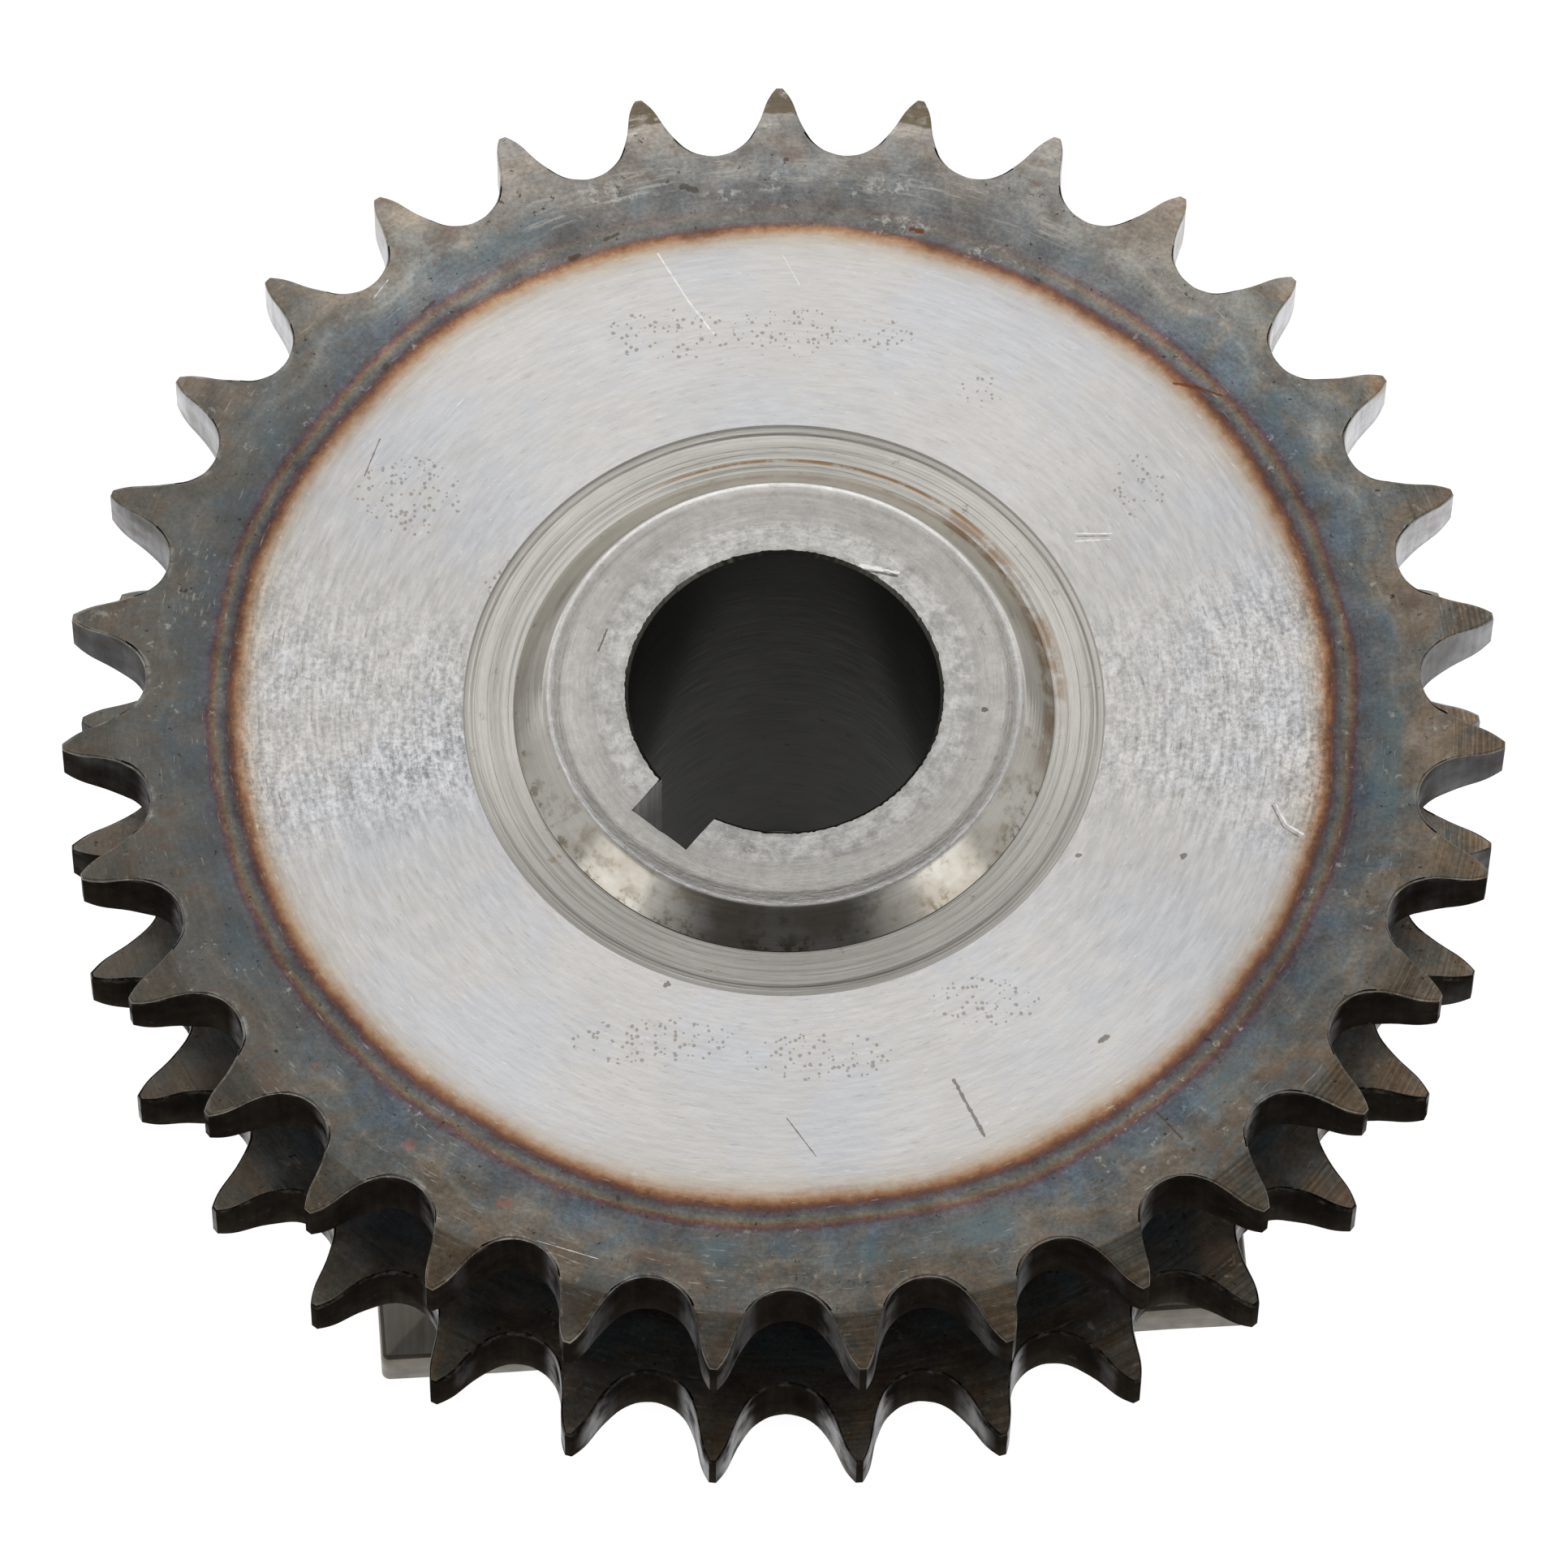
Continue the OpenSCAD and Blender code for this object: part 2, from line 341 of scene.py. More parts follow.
class TurnedSurface(Surface):
    """A surface round the bore axis, with its radius and height in mm and its angle in radians."""

    def __init__(self, name):
        super().__init__(name)
        x, y, z = self.split(self.coord)
        radius = self.sqrt(self.add(self.mul(x, x), self.mul(y, y)))
        self.radius, self.angle, self.height = self.div(radius, MM), self.atan2(y, x), self.div(z, MM)

    def turned_lines(self, per_mm, waves, detail=4.0):
        """Streaks that run round the axis: noise that changes fast along the radius."""
        direction = self.combine(self.cos(self.angle), self.sin(self.angle))
        spread = self.vector_math("MULTIPLY", direction, (waves, waves, waves))
        along = self.combine(0.0, 0.0, self.mul(self.radius, per_mm))
        return self.noise(1.0, detail, 0.6, self.vector_math("ADD", spread, along))

    def ring(self, middle, edge, full):
        """1 within full mm of the circle with radius middle, and 0 from edge mm away."""
        return self.smooth(self.abs(self.sub(self.radius, middle)), edge, full)

    def rust_stain(self, middle, spread, start, stop, strength):
        """Orange-brown stain along the circle with radius middle, between two angles in radians."""
        begins = self.smooth(self.angle, start - 0.15, start + 0.15)
        turn = self.mul(begins, self.smooth(self.angle, stop + 0.15, stop - 0.15))
        band = self.ring(middle, spread, spread * 0.3)
        patch = self.smooth(self.noise(420, 4, 0.7), 0.36, 0.56)
        self.paint(self.mul(turn, band, patch), (140, 102, 62), strength)

    def turned_gloss(self, amount):
        """Highlights that stretch across grooves which run round the axis."""
        tangent = self.node("Tangent", {}, direction_type="RADIAL", axis="Z").outputs["Tangent"]
        self.link(tangent, self.bsdf.inputs["Tangent"])
        self.bsdf.inputs["Anisotropic"].default_value = amount
        self.bsdf.inputs["Anisotropic Rotation"].default_value = 0.25


# ================================================================ places of the marks
# Tones are (radius in mm, display colour). In mm, strokes are (x0, y0, x1, y1, half width) and ovals are
# (x, y, half length along X, half length along Y).
TINT = [  # turned face, heat-tint bands, hardened rim
    (46.0, (204, 203, 200)), (47.9, (200, 197, 192)), (48.9, (193, 184, 171)), (49.6, (177, 153, 128)),
    (50.1, (150, 112, 84)), (50.5, (114, 80, 64)), (50.9, (94, 76, 76)), (51.3, (97, 96, 98)),
    (51.7, (111, 109, 104)), (52.05, (122, 111, 94)), (52.4, (118, 91, 79)), (52.75, (98, 82, 87)),
    (53.2, (98, 101, 105)), (54.6, (103, 108, 111)), (56.0, (111, 113, 111)), (56.7, (124, 123, 118)),
    (57.4, (113, 110, 104)), (59.0, (117, 112, 104)), (61.0, (116, 110, 101)), (63.0, (122, 114, 104)),
    (66.0, (130, 120, 108)),
]
SCRATCHES = [  # bright cuts on the front face
    (-11.5, 47.7, -8.7, 42.7, 0.07), (-8.7, 42.7, -6.3, 39.1, 0.09), (27.0, 18.0, 30.4, 18.0, 0.06),
    (27.0, 17.2, 30.2, 17.4, 0.06), (44.9, -10.1, 45.8, -12.1, 0.1), (45.8, -12.1, 47.3, -13.1, 0.1),
    (0.2, 47.5, 1.7, 44.4, 0.05), (-31.0, 30.5, -29.6, 32.2, 0.05), (-16.5, 61.0, -13.8, 61.8, 0.05),
    (-38.0, 43.0, -36.7, 44.9, 0.06), (-22.5, -53.8, -17.0, -55.6, 0.035),
]
DARK_MARKS = [  # dirt and smears on it
    (15.1, -37.9, 17.8, -43.5, 0.15), (0.0, -41.7, 2.6, -45.5, 0.06), (-9.2, 54.9, -7.9, 54.5, 0.3),
    (-10.9, -28.3, -10.7, -28.2, 0.26), (26.7, -15.3, 26.8, -15.2, 0.2), (36.2, -15.4, 36.4, -15.3, 0.24),
    (28.4, -34.0, 29.0, -33.7, 0.26), (33.4, -41.2, 35.6, -43.8, 0.1), (-33.5, 41.5, -32.4, 42.6, 0.16),
    (44.55, -10.2, 45.5, -12.4, 0.06), (45.5, -12.4, 46.9, -13.4, 0.05), (27.2, 17.7, 30.1, 17.75, 0.05),
    (-19.6, 47.2, -18.8, 47.5, 0.22), (-16.4, 49.2, -15.3, 49.8, 0.16), (0.5, 57.8, 0.7, 57.8, 0.2),
    (23.7, 45.1, 24.1, 44.8, 0.16), (-36.9, 35.6, -36.7, 35.8, 0.3), (-37.3, 28.0, -38.7, 24.1, 0.07),
]
RUST_MARKS = [  # rust slivers
    (36.5, 33.8, 38.6, 33.4, 0.18), (38.6, 33.4, 40.9, 32.5, 0.12), (12.2, 50.3, 13.2, 50.1, 0.22),
]
RUBBED = [  # scuffed places of the rim
    (10.3, 55.0, 4.0, 1.3), (-16.4, 54.2, 4.2, 1.7), (11.0, 50.7, 4.2, 1.5), (-1.0, 55.6, 2.8, 1.6),
    (-5.2, 54.0, 2.8, 0.8), (19.6, 47.6, 3.0, 1.2),
]
PITTED = [  # clusters of pits
    (-10.5, 39, 7, 3.4), (0.5, 39.4, 6, 3.4), (9, 39, 4, 2), (-12, -34, 9, 3), (3, -35.5, 8, 3),
    (33, 23, 3, 4), (-34.5, 22, 6, 5), (-25, 12, 4, 4), (18.5, 33, 2.6, 2), (18, -30, 6, 3),
]
BLUSHED = [  # reddish spots
    (-34.0, -44.2, 0.9, 0.8), (-42.5, -36.6, 0.7, 0.7), (-25.6, -49.9, 1.2, 0.7),
]
NOSE_TONES = [  # flat and burnished edge of the nose, with a painted highlight along the edge
    (14.3, (168, 166, 161)), (15.2, (190, 188, 184)), (17.2, (187, 185, 181)), (17.8, (170, 167, 163)),
    (18.8, (173, 171, 166)), (20.1, (180, 177, 172)), (20.6, (166, 163, 158)), (21.3, (186, 183, 178)),
    # the near-white stop at 21.6 mm is a painted highlight on the burnished edge
    (21.6, (236, 235, 233)), (22.0, (206, 203, 197)),
]
NOSE_SCUFFS = [  # bright marks on the nose
    (7.2, 12.9, 9.0, 12.6, 0.2), (9.0, 12.6, 10.6, 12.2, 0.12), (-12.6, -12.0, -9.4, -14.8, 0.07),
]
NOSE_DIRT = [  # dark marks on it
    (7.6, 12.45, 10.4, 11.9, 0.12), (18.2, -1.9, 18.4, -1.9, 0.25), (-17.0, 4.2, -16.2, 6.4, 0.08),
]
RECESS_TONES = [  # over the rings' own noise, from 0 to 1
    (0.25, (154, 151, 144)), (0.42, (176, 173, 167)), (0.6, (193, 190, 184)), (0.75, (174, 167, 155)),
]
RECESS_LINES = [  # radius, width, colour
    (28.95, 0.07, (172, 168, 160)), (27.25, 0.06, (132, 127, 117)), (26.1, 0.06, (158, 150, 136)),
]


# ================================================================ materials
def rim_colour(s):
    """Colour of a row's face: bright inside, tint bands, scalloped blue-grey rim, brown-grey teeth."""
    rough_edge = s.sub(s.noise(900, 4, 0.65), 0.5)
    slow_edge = s.sub(s.noise(55, 2, 0.5), 0.5)
    shift = s.add(s.mul(rough_edge, 1.1), s.mul(slow_edge, 1.8))
    scallop = s.cos(s.mul(s.sub(s.angle, math.pi / 2), TEETH))
    shift = s.sub(shift, s.mul(scallop, s.smooth(s.radius, 54.0, 57.0)))
    uneven = s.mul(s.sin(s.add(s.angle, -0.6)), 0.16)
    shift = s.sub(shift, uneven)
    return s.ramp(s.add(s.radius, shift), TINT)


def rim_mottling(s, rim, top):
    """Mottling of the hardened rim, from slow to fine, with plainer steel at the top and on the -X side.
    Painted light and shade make the rim lighter towards +Y and darker towards -Y.
    """
    plain = s.mul(s.smooth(top, 0.72, 0.96), s.smooth(s.radius, 50.5, 51.3, 0.0, 0.8))
    s.paint(plain, (101, 99, 96))
    s.tone(s.noise(85, 5, 0.65, distortion=1.0), 0.86, 1.16, rim)
    hue = s.smooth(s.noise(125, 5, 0.7, distortion=1.2), 0.36, 0.64)
    hue = s.mix(hue, (0.87, 1.0, 1.12, 1), (1.14, 0.99, 0.86, 1))
    s.multiply(hue, s.mul(s.smooth(s.radius, 52.0, 54.0), s.smooth(top, 0.5, 0.9, 1.0, 0.35)))
    blotch = s.smooth(s.noise(240, 6, 0.72, distortion=0.5), 0.3, 0.7, 0.72, 1.23)
    grain = s.smooth(s.noise(2300, 3, 0.7), 0.3, 0.7, 0.84, 1.17)
    # Painted light and shade: the rim grows lighter towards +Y, and the outer rim and teeth darker towards
    # -Y.
    s.scale(s.mul(blotch, grain, s.smooth(top, 0.35, 0.95, 1.0, 1.5)), rim)
    s.scale(s.smooth(top, -1.0, 1.0, 0.87, 1.34), s.smooth(s.radius, 54.5, 57.5))
    plain = s.mul(s.smooth(s.cos(s.angle), -0.55, -0.95), s.smooth(s.radius, 52.8, 53.8, 0.0, 0.5))
    s.paint(plain, (97, 97, 94))


def rim_patches(s, top):
    """Teal patches in a belt of the rim, brown ones on the teeth, and brown tips at the top."""
    teal = s.smooth(s.noise(95, 3, 0.6), 0.5, 0.66)
    teal = s.mul(teal, s.ring(55.4, 2.0, 0.8))
    teal = s.mul(teal, s.smooth(s.cos(s.angle), -1.0, 0.2, 0.35, 1.0))
    s.paint(teal, (94, 114, 120), 0.6)
    brown = s.mul(s.smooth(s.noise(230, 4, 0.65), 0.54, 0.68), s.smooth(s.radius, 54, 57))
    s.paint(brown, (112, 92, 78), 0.5)
    tips = s.smooth(s.add(s.radius, s.noise(500, 2)), 63.4, 63.8)
    tips = s.mul(tips, s.smooth(top, 0.955, 0.965))
    s.paint(tips, (92, 82, 66), s.smooth(s.noise(600, 3), 0.3, 0.5, 0.4, 0.9))


def rim_scuffs(s, rim, top):
    """Pale spots and dashes, scuffed places and dark specks of the rim."""
    pale = s.smooth(s.noise(650, 5, 0.75), 0.6, 0.67)
    pale = s.mul(pale, s.smooth(s.noise(90, 3), 0.42, 0.58))
    dashes = s.smooth(s.turned_lines(4.0, 26.0), 0.62, 0.7)
    dashes = s.mul(dashes, s.smooth(s.noise(110, 2), 0.4, 0.6, 0.1, 0.9))
    scuffed = s.mul(s.smooth(top, 0.8, 0.95), s.ring(56.6, 2.6, 1.2))
    scuffs = s.mul(s.smooth(s.turned_lines(2.6, 16.0, 5.0), 0.54, 0.62), scuffed)
    dashes = s.max(dashes, s.mul(scuffs, s.smooth(s.noise(180, 3), 0.4, 0.58)))
    s.paint(s.mul(s.max(pale, dashes), rim), (182, 180, 172), 0.6)
    pale_place = s.mul(s.near(RUBBED), s.smooth(s.noise(1000, 5, 0.75, distortion=0.6), 0.5, 0.6))
    s.paint(pale_place, (196, 194, 187), 0.6)
    speck = s.mul(s.smooth(s.noise(1100, 4, 0.7), 0.65, 0.69), rim)
    s.paint(speck, (48, 42, 38), 0.75)


def edge_scuff_and_highlight(s, top):
    """Bright, broken line along the tooth edges: partly scuffed steel, partly painted highlight, stronger on
    the -X side.
    """
    edge_line = s.smooth(s.attribute("edge_nearness"), 0.68, 0.98)
    edge_line = s.mul(edge_line, s.smooth(s.noise(750, 4, 0.7), 0.42, 0.6))
    # Painted highlight: the line is stronger towards -X and weaker towards +Y.
    side = s.mul(s.smooth(s.cos(s.angle), 0.2, -0.6, 0.45, 1.0), s.smooth(top, 0.5, 0.85, 1.0, 0.35))
    edge_line = s.mul(edge_line, s.mul(side, s.smooth(s.noise(60, 2), 0.38, 0.6, 0.12, 0.6)))
    s.paint(edge_line, (178, 175, 168))


def turned_sheen(s, lines, grain, inner):
    """Painted sheen of the turned face: light and dark streaks, strongest in two wedges along X, and painted
    shade that darkens the face towards ±X. Returns the wedges.
    """
    across = s.cos(s.angle)
    sideways = s.mul(across, across)
    # Painted sheen: the grain shows light and dark in two wedges along X.
    wedge = s.smooth(sideways, 0.84, 1.0)
    wedge = s.mul(wedge, s.smooth(s.noise(60, 2), 0.3, 0.7, 0.5, 1.2))
    shade = s.mul(s.smooth(grain, 0.32, 0.68, -1.0, 1.0), s.mul(wedge, 0.38))
    faint = s.smooth(sideways, 0.3, 0.85, 0.035, 0.075)
    shade = s.add(shade, s.mul(s.smooth(lines, 0.3, 0.7, -1.0, 1.0), faint))
    shade = s.mul(shade, inner)
    # Painted shade: the face darkens towards ±X.
    s.scale(s.add(shade, s.smooth(sideways, 0.3, 1.0, 1.005, 0.88)))
    s.multiply((0.965, 0.965, 0.995, 1), inner)
    return wedge


def tooth_bevels(s, top):
    """Tool marks on the bevels of the teeth, with painted shade that makes them browner and darker towards -Y
    and a painted highlight that makes them lighter towards +Y.
    """
    bevel = s.smooth(s.radius, 61.0, s.smooth(top, 0.2, 0.8, 61.35, 61.8))
    striped = s.mul(s.smooth(top, 0.7, 0.0), s.smooth(s.cos(s.angle), -0.3, 0.3))
    marks = s.turned_lines(4.0, 1.5, 3.0)
    low = s.smooth(striped, 0.0, 1.0, 0.93, 0.76)
    high = s.smooth(striped, 0.0, 1.0, 1.08, 1.24)
    cut = s.smooth(marks, 0.35, 0.68, low, high)
    # Painted shade and highlight: the bevels darken and brown towards -Y and lighten towards +Y.
    cut = s.mul(cut, s.mul(s.smooth(top, -1.0, -0.2, 0.72, 1.0), s.smooth(top, 0.75, 1.0, 1.0, 1.38)))
    green = s.mul(cut, s.smooth(top, -0.7, 0.3, 0.95, 0.99))
    blue = s.mul(cut, s.smooth(top, -0.7, 0.3, 0.87, 0.97))
    s.multiply(s.combine(cut, green, blue), bevel)


def pits_and_nicks(s, inner, wedge):
    """Clusters of pits, painted glints in short bright streaks, and dark nicks on the turned face. Returns
    the pits.
    """
    distance, chance = s.cells(2300)
    distance = s.add(distance, s.mul(s.sub(s.noise(3200, 3, 0.6), 0.5), 0.7))
    size = s.smooth(s.split(chance)[0], 0.2, 1.0, -0.02, 0.43)
    pit = s.mul(s.less(distance, size), s.greater(s.near(PITTED), 0.25), inner)
    s.paint(pit, (126, 117, 102), 0.6)
    # Painted glints: short bright streaks along the turning.
    fleck = s.mul(s.smooth(s.turned_lines(4.0, 30.0), 0.64, 0.7), inner)
    s.paint(fleck, (236, 236, 238), 0.3)
    nick = s.mul(s.smooth(s.turned_lines(3.4, 22.0), 0.61, 0.69), inner)
    s.paint(nick, (112, 109, 104), s.smooth(wedge, 0.0, 0.8, 0.2, 0.6))
    return pit


def front_marks(s, _):
    """Reddish spots, scratches, dirt and rust that only the front row has."""
    s.paint(s.mul(s.near(BLUSHED), s.smooth(s.noise(900, 3), 0.35, 0.6)), (168, 104, 90), 0.5)
    cuts = s.mul(s.strokes(SCRATCHES), s.smooth(s.noise(800, 3), 0.36, 0.5, 0.3, 0.78))
    s.paint(cuts, (236, 236, 236))
    s.paint(s.strokes(DARK_MARKS), (78, 64, 50), 0.65)
    s.paint(s.strokes(RUST_MARKS), (112, 62, 34), 0.85)


def rear_shade(s, top):
    """Painted shade: the lowest teeth of the rear row are darker, and those above lighter."""
    s.scale(s.smooth(top, -1.0, -0.35, 0.94, 1.2784))


def row_face_material(name, last_layer):
    """Face of a row: bright turned steel inside, heat-tinted hardened rim and teeth outside."""
    s = TurnedSurface(name)
    streaks = s.turned_lines(2.8, 13.0, 3.0)
    lines = s.turned_lines(1.9, 13.0, 3.0)
    grain = s.add(s.mul(lines, 0.3), s.mul(s.noise(2400, 4, 0.65), 0.7))
    rim = s.smooth(s.radius, 49.5, 51.5)
    inner = s.sub(1.0, rim)
    s.colour = rim_colour(s)
    s.tone(s.noise(45, 4, 0.6), 0.96, 1.03)
    cool = s.smooth(s.noise(58, 5, 0.65), 0.43, 0.58)
    s.multiply(s.mix(cool, (1.0, 0.985, 0.955, 1), (0.96, 0.976, 1.0, 1)), inner)
    top = s.sin(s.angle)
    rim_mottling(s, rim, top)
    rim_patches(s, top)
    rim_scuffs(s, rim, top)
    edge_scuff_and_highlight(s, top)
    s.tone(streaks, 0.965, 1.03)
    wedge = turned_sheen(s, lines, grain, inner)
    top = s.sin(s.angle)
    tooth_bevels(s, top)
    pit = pits_and_nicks(s, inner, wedge)
    last_layer(s, top)
    roughness = s.add(s.smooth(streaks, 0.2, 0.8, 0.26, 0.38), s.mul(rim, 0.08))
    normal = s.bump(s.add(s.mul(streaks, 0.5), s.mul(grain, 0.5)), 0.05 * MM, 0.6)
    normal = s.bump(s.sub(s.noise(1600, 4, 0.6), pit), 0.04 * MM, 0.5, normal)
    s.turned_gloss(0.6)
    return s.finish(roughness, normal)


def tooth_wall_material():
    """Cut flanks of the teeth: dark dull oxide with lines across and a pale scuffed line along the edges.
    Painted sheen makes them bright metallic steel towards +Y and where they face ±X; painted light lightens
    low flanks.
    """
    s = Surface("tooth_wall", 0)
    x, y, z = s.split(s.coord)
    marks = s.stretched((1500, 1500, 90), 4, 0.6)
    # Painted sheen: bright metallic steel towards +Y, and on flanks that face ±X, more on low flanks.
    spread = s.add(s.mul(s.sub(s.noise(160, 3), 0.5), 0.03), s.mul(x, 0.1))
    painted_sheen = s.smooth(s.add(y, spread), -14 * MM, 40 * MM)
    sideways = s.abs(s.split(s.normal)[0])
    pale_place = s.mul(s.smooth(sideways, 0.62, 0.97), s.smooth(z, 36 * MM, 34 * MM, 0.26, 0.55))
    painted_sheen = s.max(painted_sheen, s.mul(pale_place, s.smooth(s.noise(260, 3, 0.55), 0.3, 0.6)))
    s.base(s.smooth(s.noise(260, 4, 0.65), 0.35, 0.7), (29, 26, 22), (44, 39, 34))
    # Painted light: flanks below about 30 mm grow lighter downwards.
    s.scale(s.smooth(z, 30.5 * MM, 25 * MM, 1.0, 1.9), s.smooth(z, 34.5 * MM, 33.5 * MM))
    s.paint(s.smooth(s.noise(700, 4, 0.7), 0.64, 0.72), (96, 88, 80), 0.25)
    steel = s.mix(s.smooth(s.noise(240, 4, 0.6), 0.4, 0.66), srgb(196, 196, 200), srgb(164, 161, 157))
    s.colour = s.mix(painted_sheen, s.colour, steel)
    s.tone(marks, 0.82, 1.16)
    edge_line = s.smooth(s.attribute("edge_nearness"), 0.7, 1.0)
    s.paint(s.mul(edge_line, s.smooth(s.noise(800, 4, 0.7), 0.45, 0.62)), (150, 146, 138), 0.18)
    s.link(s.mul(painted_sheen, 0.85), s.bsdf.inputs["Metallic"])
    s.bsdf.inputs["Specular IOR Level"].default_value = 0.0
    normal = s.bump(marks, 0.05 * MM, 0.5)
    normal = s.bump(s.noise(1400, 4, 0.6), 0.05 * MM, 0.5, normal)
    return s.finish(s.smooth(s.noise(500, 3), 0.3, 0.7, 0.2, 0.34), normal)


def nose_material():
    """Turned nose of the hub: mottled flat with a smoother grey band and painted shade by side, a burnished
    edge with a painted highlight, and scuffs.
    """
    s = TurnedSurface("nose_steel")
    streaks = s.turned_lines(3.4, 3.0, 3.0)
    fine = s.turned_lines(4.5, 22.0, 3.0)
    uneven = s.mul(s.sub(s.noise(120, 3, 0.6), 0.5), s.smooth(s.radius, 20.5, 18.5, 0.0, 2.0))
    s.colour = s.ramp(s.add(s.radius, uneven), NOSE_TONES)
    inner = s.smooth(s.radius, 18.4, 16.8)
    # Painted shade: the flat is darker on its +Y side between 18 and 21 mm, and darker towards -Y.
    far = s.mul(s.smooth(s.sin(s.angle), 0.45, 0.95), s.smooth(s.radius, 18.0, 18.8))
    s.scale(0.86, s.mul(far, s.smooth(s.radius, 21.0, 20.4)))
    s.scale(s.smooth(s.sin(s.angle), -1.0, -0.2, 0.84, 0.97), s.smooth(s.radius, 21.4, 20.9))
    mottle = s.smooth(s.noise(780, 6, 0.75, distortion=0.3), 0.32, 0.68, 0.7, 1.24)
    s.scale(mottle, s.smooth(inner, 0.0, 1.0, 0.4, 1.0))
    s.tone(streaks, 0.92, 1.07)
    s.tone(fine, 0.94, 1.05)
    s.tone(s.noise(75, 3, 0.6), 0.93, 1.06)
    s.paint(s.smooth(s.noise(520, 5, 0.75), 0.62, 0.69), (112, 104, 92), 0.45)
    s.paint(s.strokes(NOSE_SCUFFS), (238, 238, 236), 0.8)
    s.paint(s.strokes(NOSE_DIRT), (74, 66, 56), 0.75)
    roughness = s.add(s.smooth(fine, 0.2, 0.8, 0.22, 0.34), s.mul(inner, 0.08))
    normal = s.bump(s.add(streaks, fine), 0.05 * MM, 0.5)
    normal = s.bump(s.noise(1300, 4, 0.65), 0.06 * MM, 0.5, normal)
    s.turned_gloss(0.4)
    return s.finish(roughness, normal)


def flank_material():
    """Polished conical flank of the nose, with tool lines, a browner -Y side and a dirty foot that darkens
    towards -Y.
    """
    s = TurnedSurface("nose_flank")
    lines = s.turned_lines(5.0, 1.2, 3.0)
    s.colour = srgb(214, 210, 201)
    s.tone(s.noise(140, 4, 0.6), 0.9, 1.05)
    s.tone(lines, 0.93, 1.05)
    foot = s.smooth(s.radius, 23.6, 24.7, 0.35, 1.0)
    # The foot's dirt grows towards -Y, and the -Y side turns browner.
    near = s.smooth(s.sin(s.angle), 0.2, -0.6, 0.0, 0.055)
    dirt = s.smooth(s.add(s.noise(520, 5, 0.75), near), 0.57, 0.66)
    s.paint(s.mul(dirt, foot), (98, 84, 62), 0.7)
    browner_side = s.mul(s.smooth(s.noise(130, 4, 0.6), 0.4, 0.6), s.smooth(s.sin(s.angle), 0.0, -0.6))
    s.paint(browner_side, (150, 136, 112), 0.5)
    s.rust_stain(24.4, 0.9, -0.25, 0.95, 0.6)
    smudge = s.smooth(s.noise(260, 4, 0.7), 0.5, 0.7)
    roughness = s.add(s.smooth(lines, 0.25, 0.75, 0.09, 0.17), s.mul(smudge, 0.08))
    return s.finish(roughness, s.bump(lines, 0.02 * MM, 0.5))


def recess_material():
    """Turned weld ring in the recess: fine ivory-grey rings, thin lines, rust stains, dirt specks. Painted
    shade darkens it towards -Y, and painted light lightens it towards ±X and on the recess wall.
    """
    s = TurnedSurface("turned_weld")
    rings = s.turned_lines(2.6, 0.5)
    fine = s.turned_lines(5.0, 5.0, 3.0)
    s.colour = s.ramp(rings, RECESS_TONES)
    s.tone(fine, 0.93, 1.06)
    s.tone(s.noise(120, 4, 0.6), 0.93, 1.05)
    for middle, width, shade in RECESS_LINES:
        line = s.ring(middle, width, width * 0.5)
        s.paint(line, shade, s.mul(s.smooth(s.noise(140, 3), 0.35, 0.55), 0.7))
    wall = WELD_R / MM
    # Painted shade and light: darker towards -Y, lighter towards ±X, and lighter on the recess wall.
    painted_light_and_shade = s.smooth(s.sin(s.angle), 0.1, -0.9, 1.0, 0.67)
    painted_light_and_shade = s.mul(painted_light_and_shade, s.smooth(s.abs(s.cos(s.angle)), 0.0, 1.0, 0.96, 1.09))
    s.scale(s.mul(painted_light_and_shade, s.smooth(s.radius, wall - 0.1, wall + 0.05, 1.02, 1.5)))
    s.paint(s.smooth(s.noise(620, 5, 0.75), 0.63, 0.69), (124, 104, 74), 0.5)
    s.rust_stain(25.9, 0.26, 0.75, 2.0, 0.8)
    s.rust_stain(25.3, 1.0, 0.0, 0.95, 0.55)
    s.link(s.smooth(s.radius, wall, wall + 0.03, 1.0, 0.2), s.bsdf.inputs["Metallic"])
    s.turned_gloss(0.4)
    return s.finish(s.smooth(fine, 0.2, 0.8, 0.24, 0.38), s.bump(s.add(rings, fine), 0.08 * MM, 0.5))


def bore_material():
    """Bored surface: fine lines round it, a few lengthwise scuffs, a dark colour as painted shade, and a
    painted highlight band on its +Y side.
    """
    s = TurnedSurface("bore_steel")
    lines = s.noise(1.0, 3, 0.6, s.combine(s.mul(s.angle, 3), 0.0, s.mul(s.height, 2.5)))
    scuffs = s.noise(1.0, 4, 0.7, s.combine(s.mul(s.angle, 40), 0.0, s.mul(s.height, 0.8)))
    # Darker than the bored steel itself: painted shade inside the bore.
    s.colour = srgb(86, 85, 79)
    s.tone(s.noise(150, 4, 0.6), 0.85, 1.1)
    # Painted highlight: lighter towards +Y, darker elsewhere.
    s.scale(s.smooth(s.sin(s.angle), 0.6, 0.97, 0.8, 1.1))
    s.paint(s.smooth(scuffs, 0.6, 0.7), (128, 124, 114), 0.3)
    s.paint(s.smooth(s.noise(1000, 3, 0.6), 0.68, 0.72), (34, 28, 24), 0.5)
    normal = s.bump(lines, 0.012 * MM, 0.3)
    normal = s.bump(s.noise(1300, 3), 0.02 * MM, 0.3, normal)
    return s.finish(s.smooth(lines, 0.25, 0.75, 0.26, 0.4), normal)


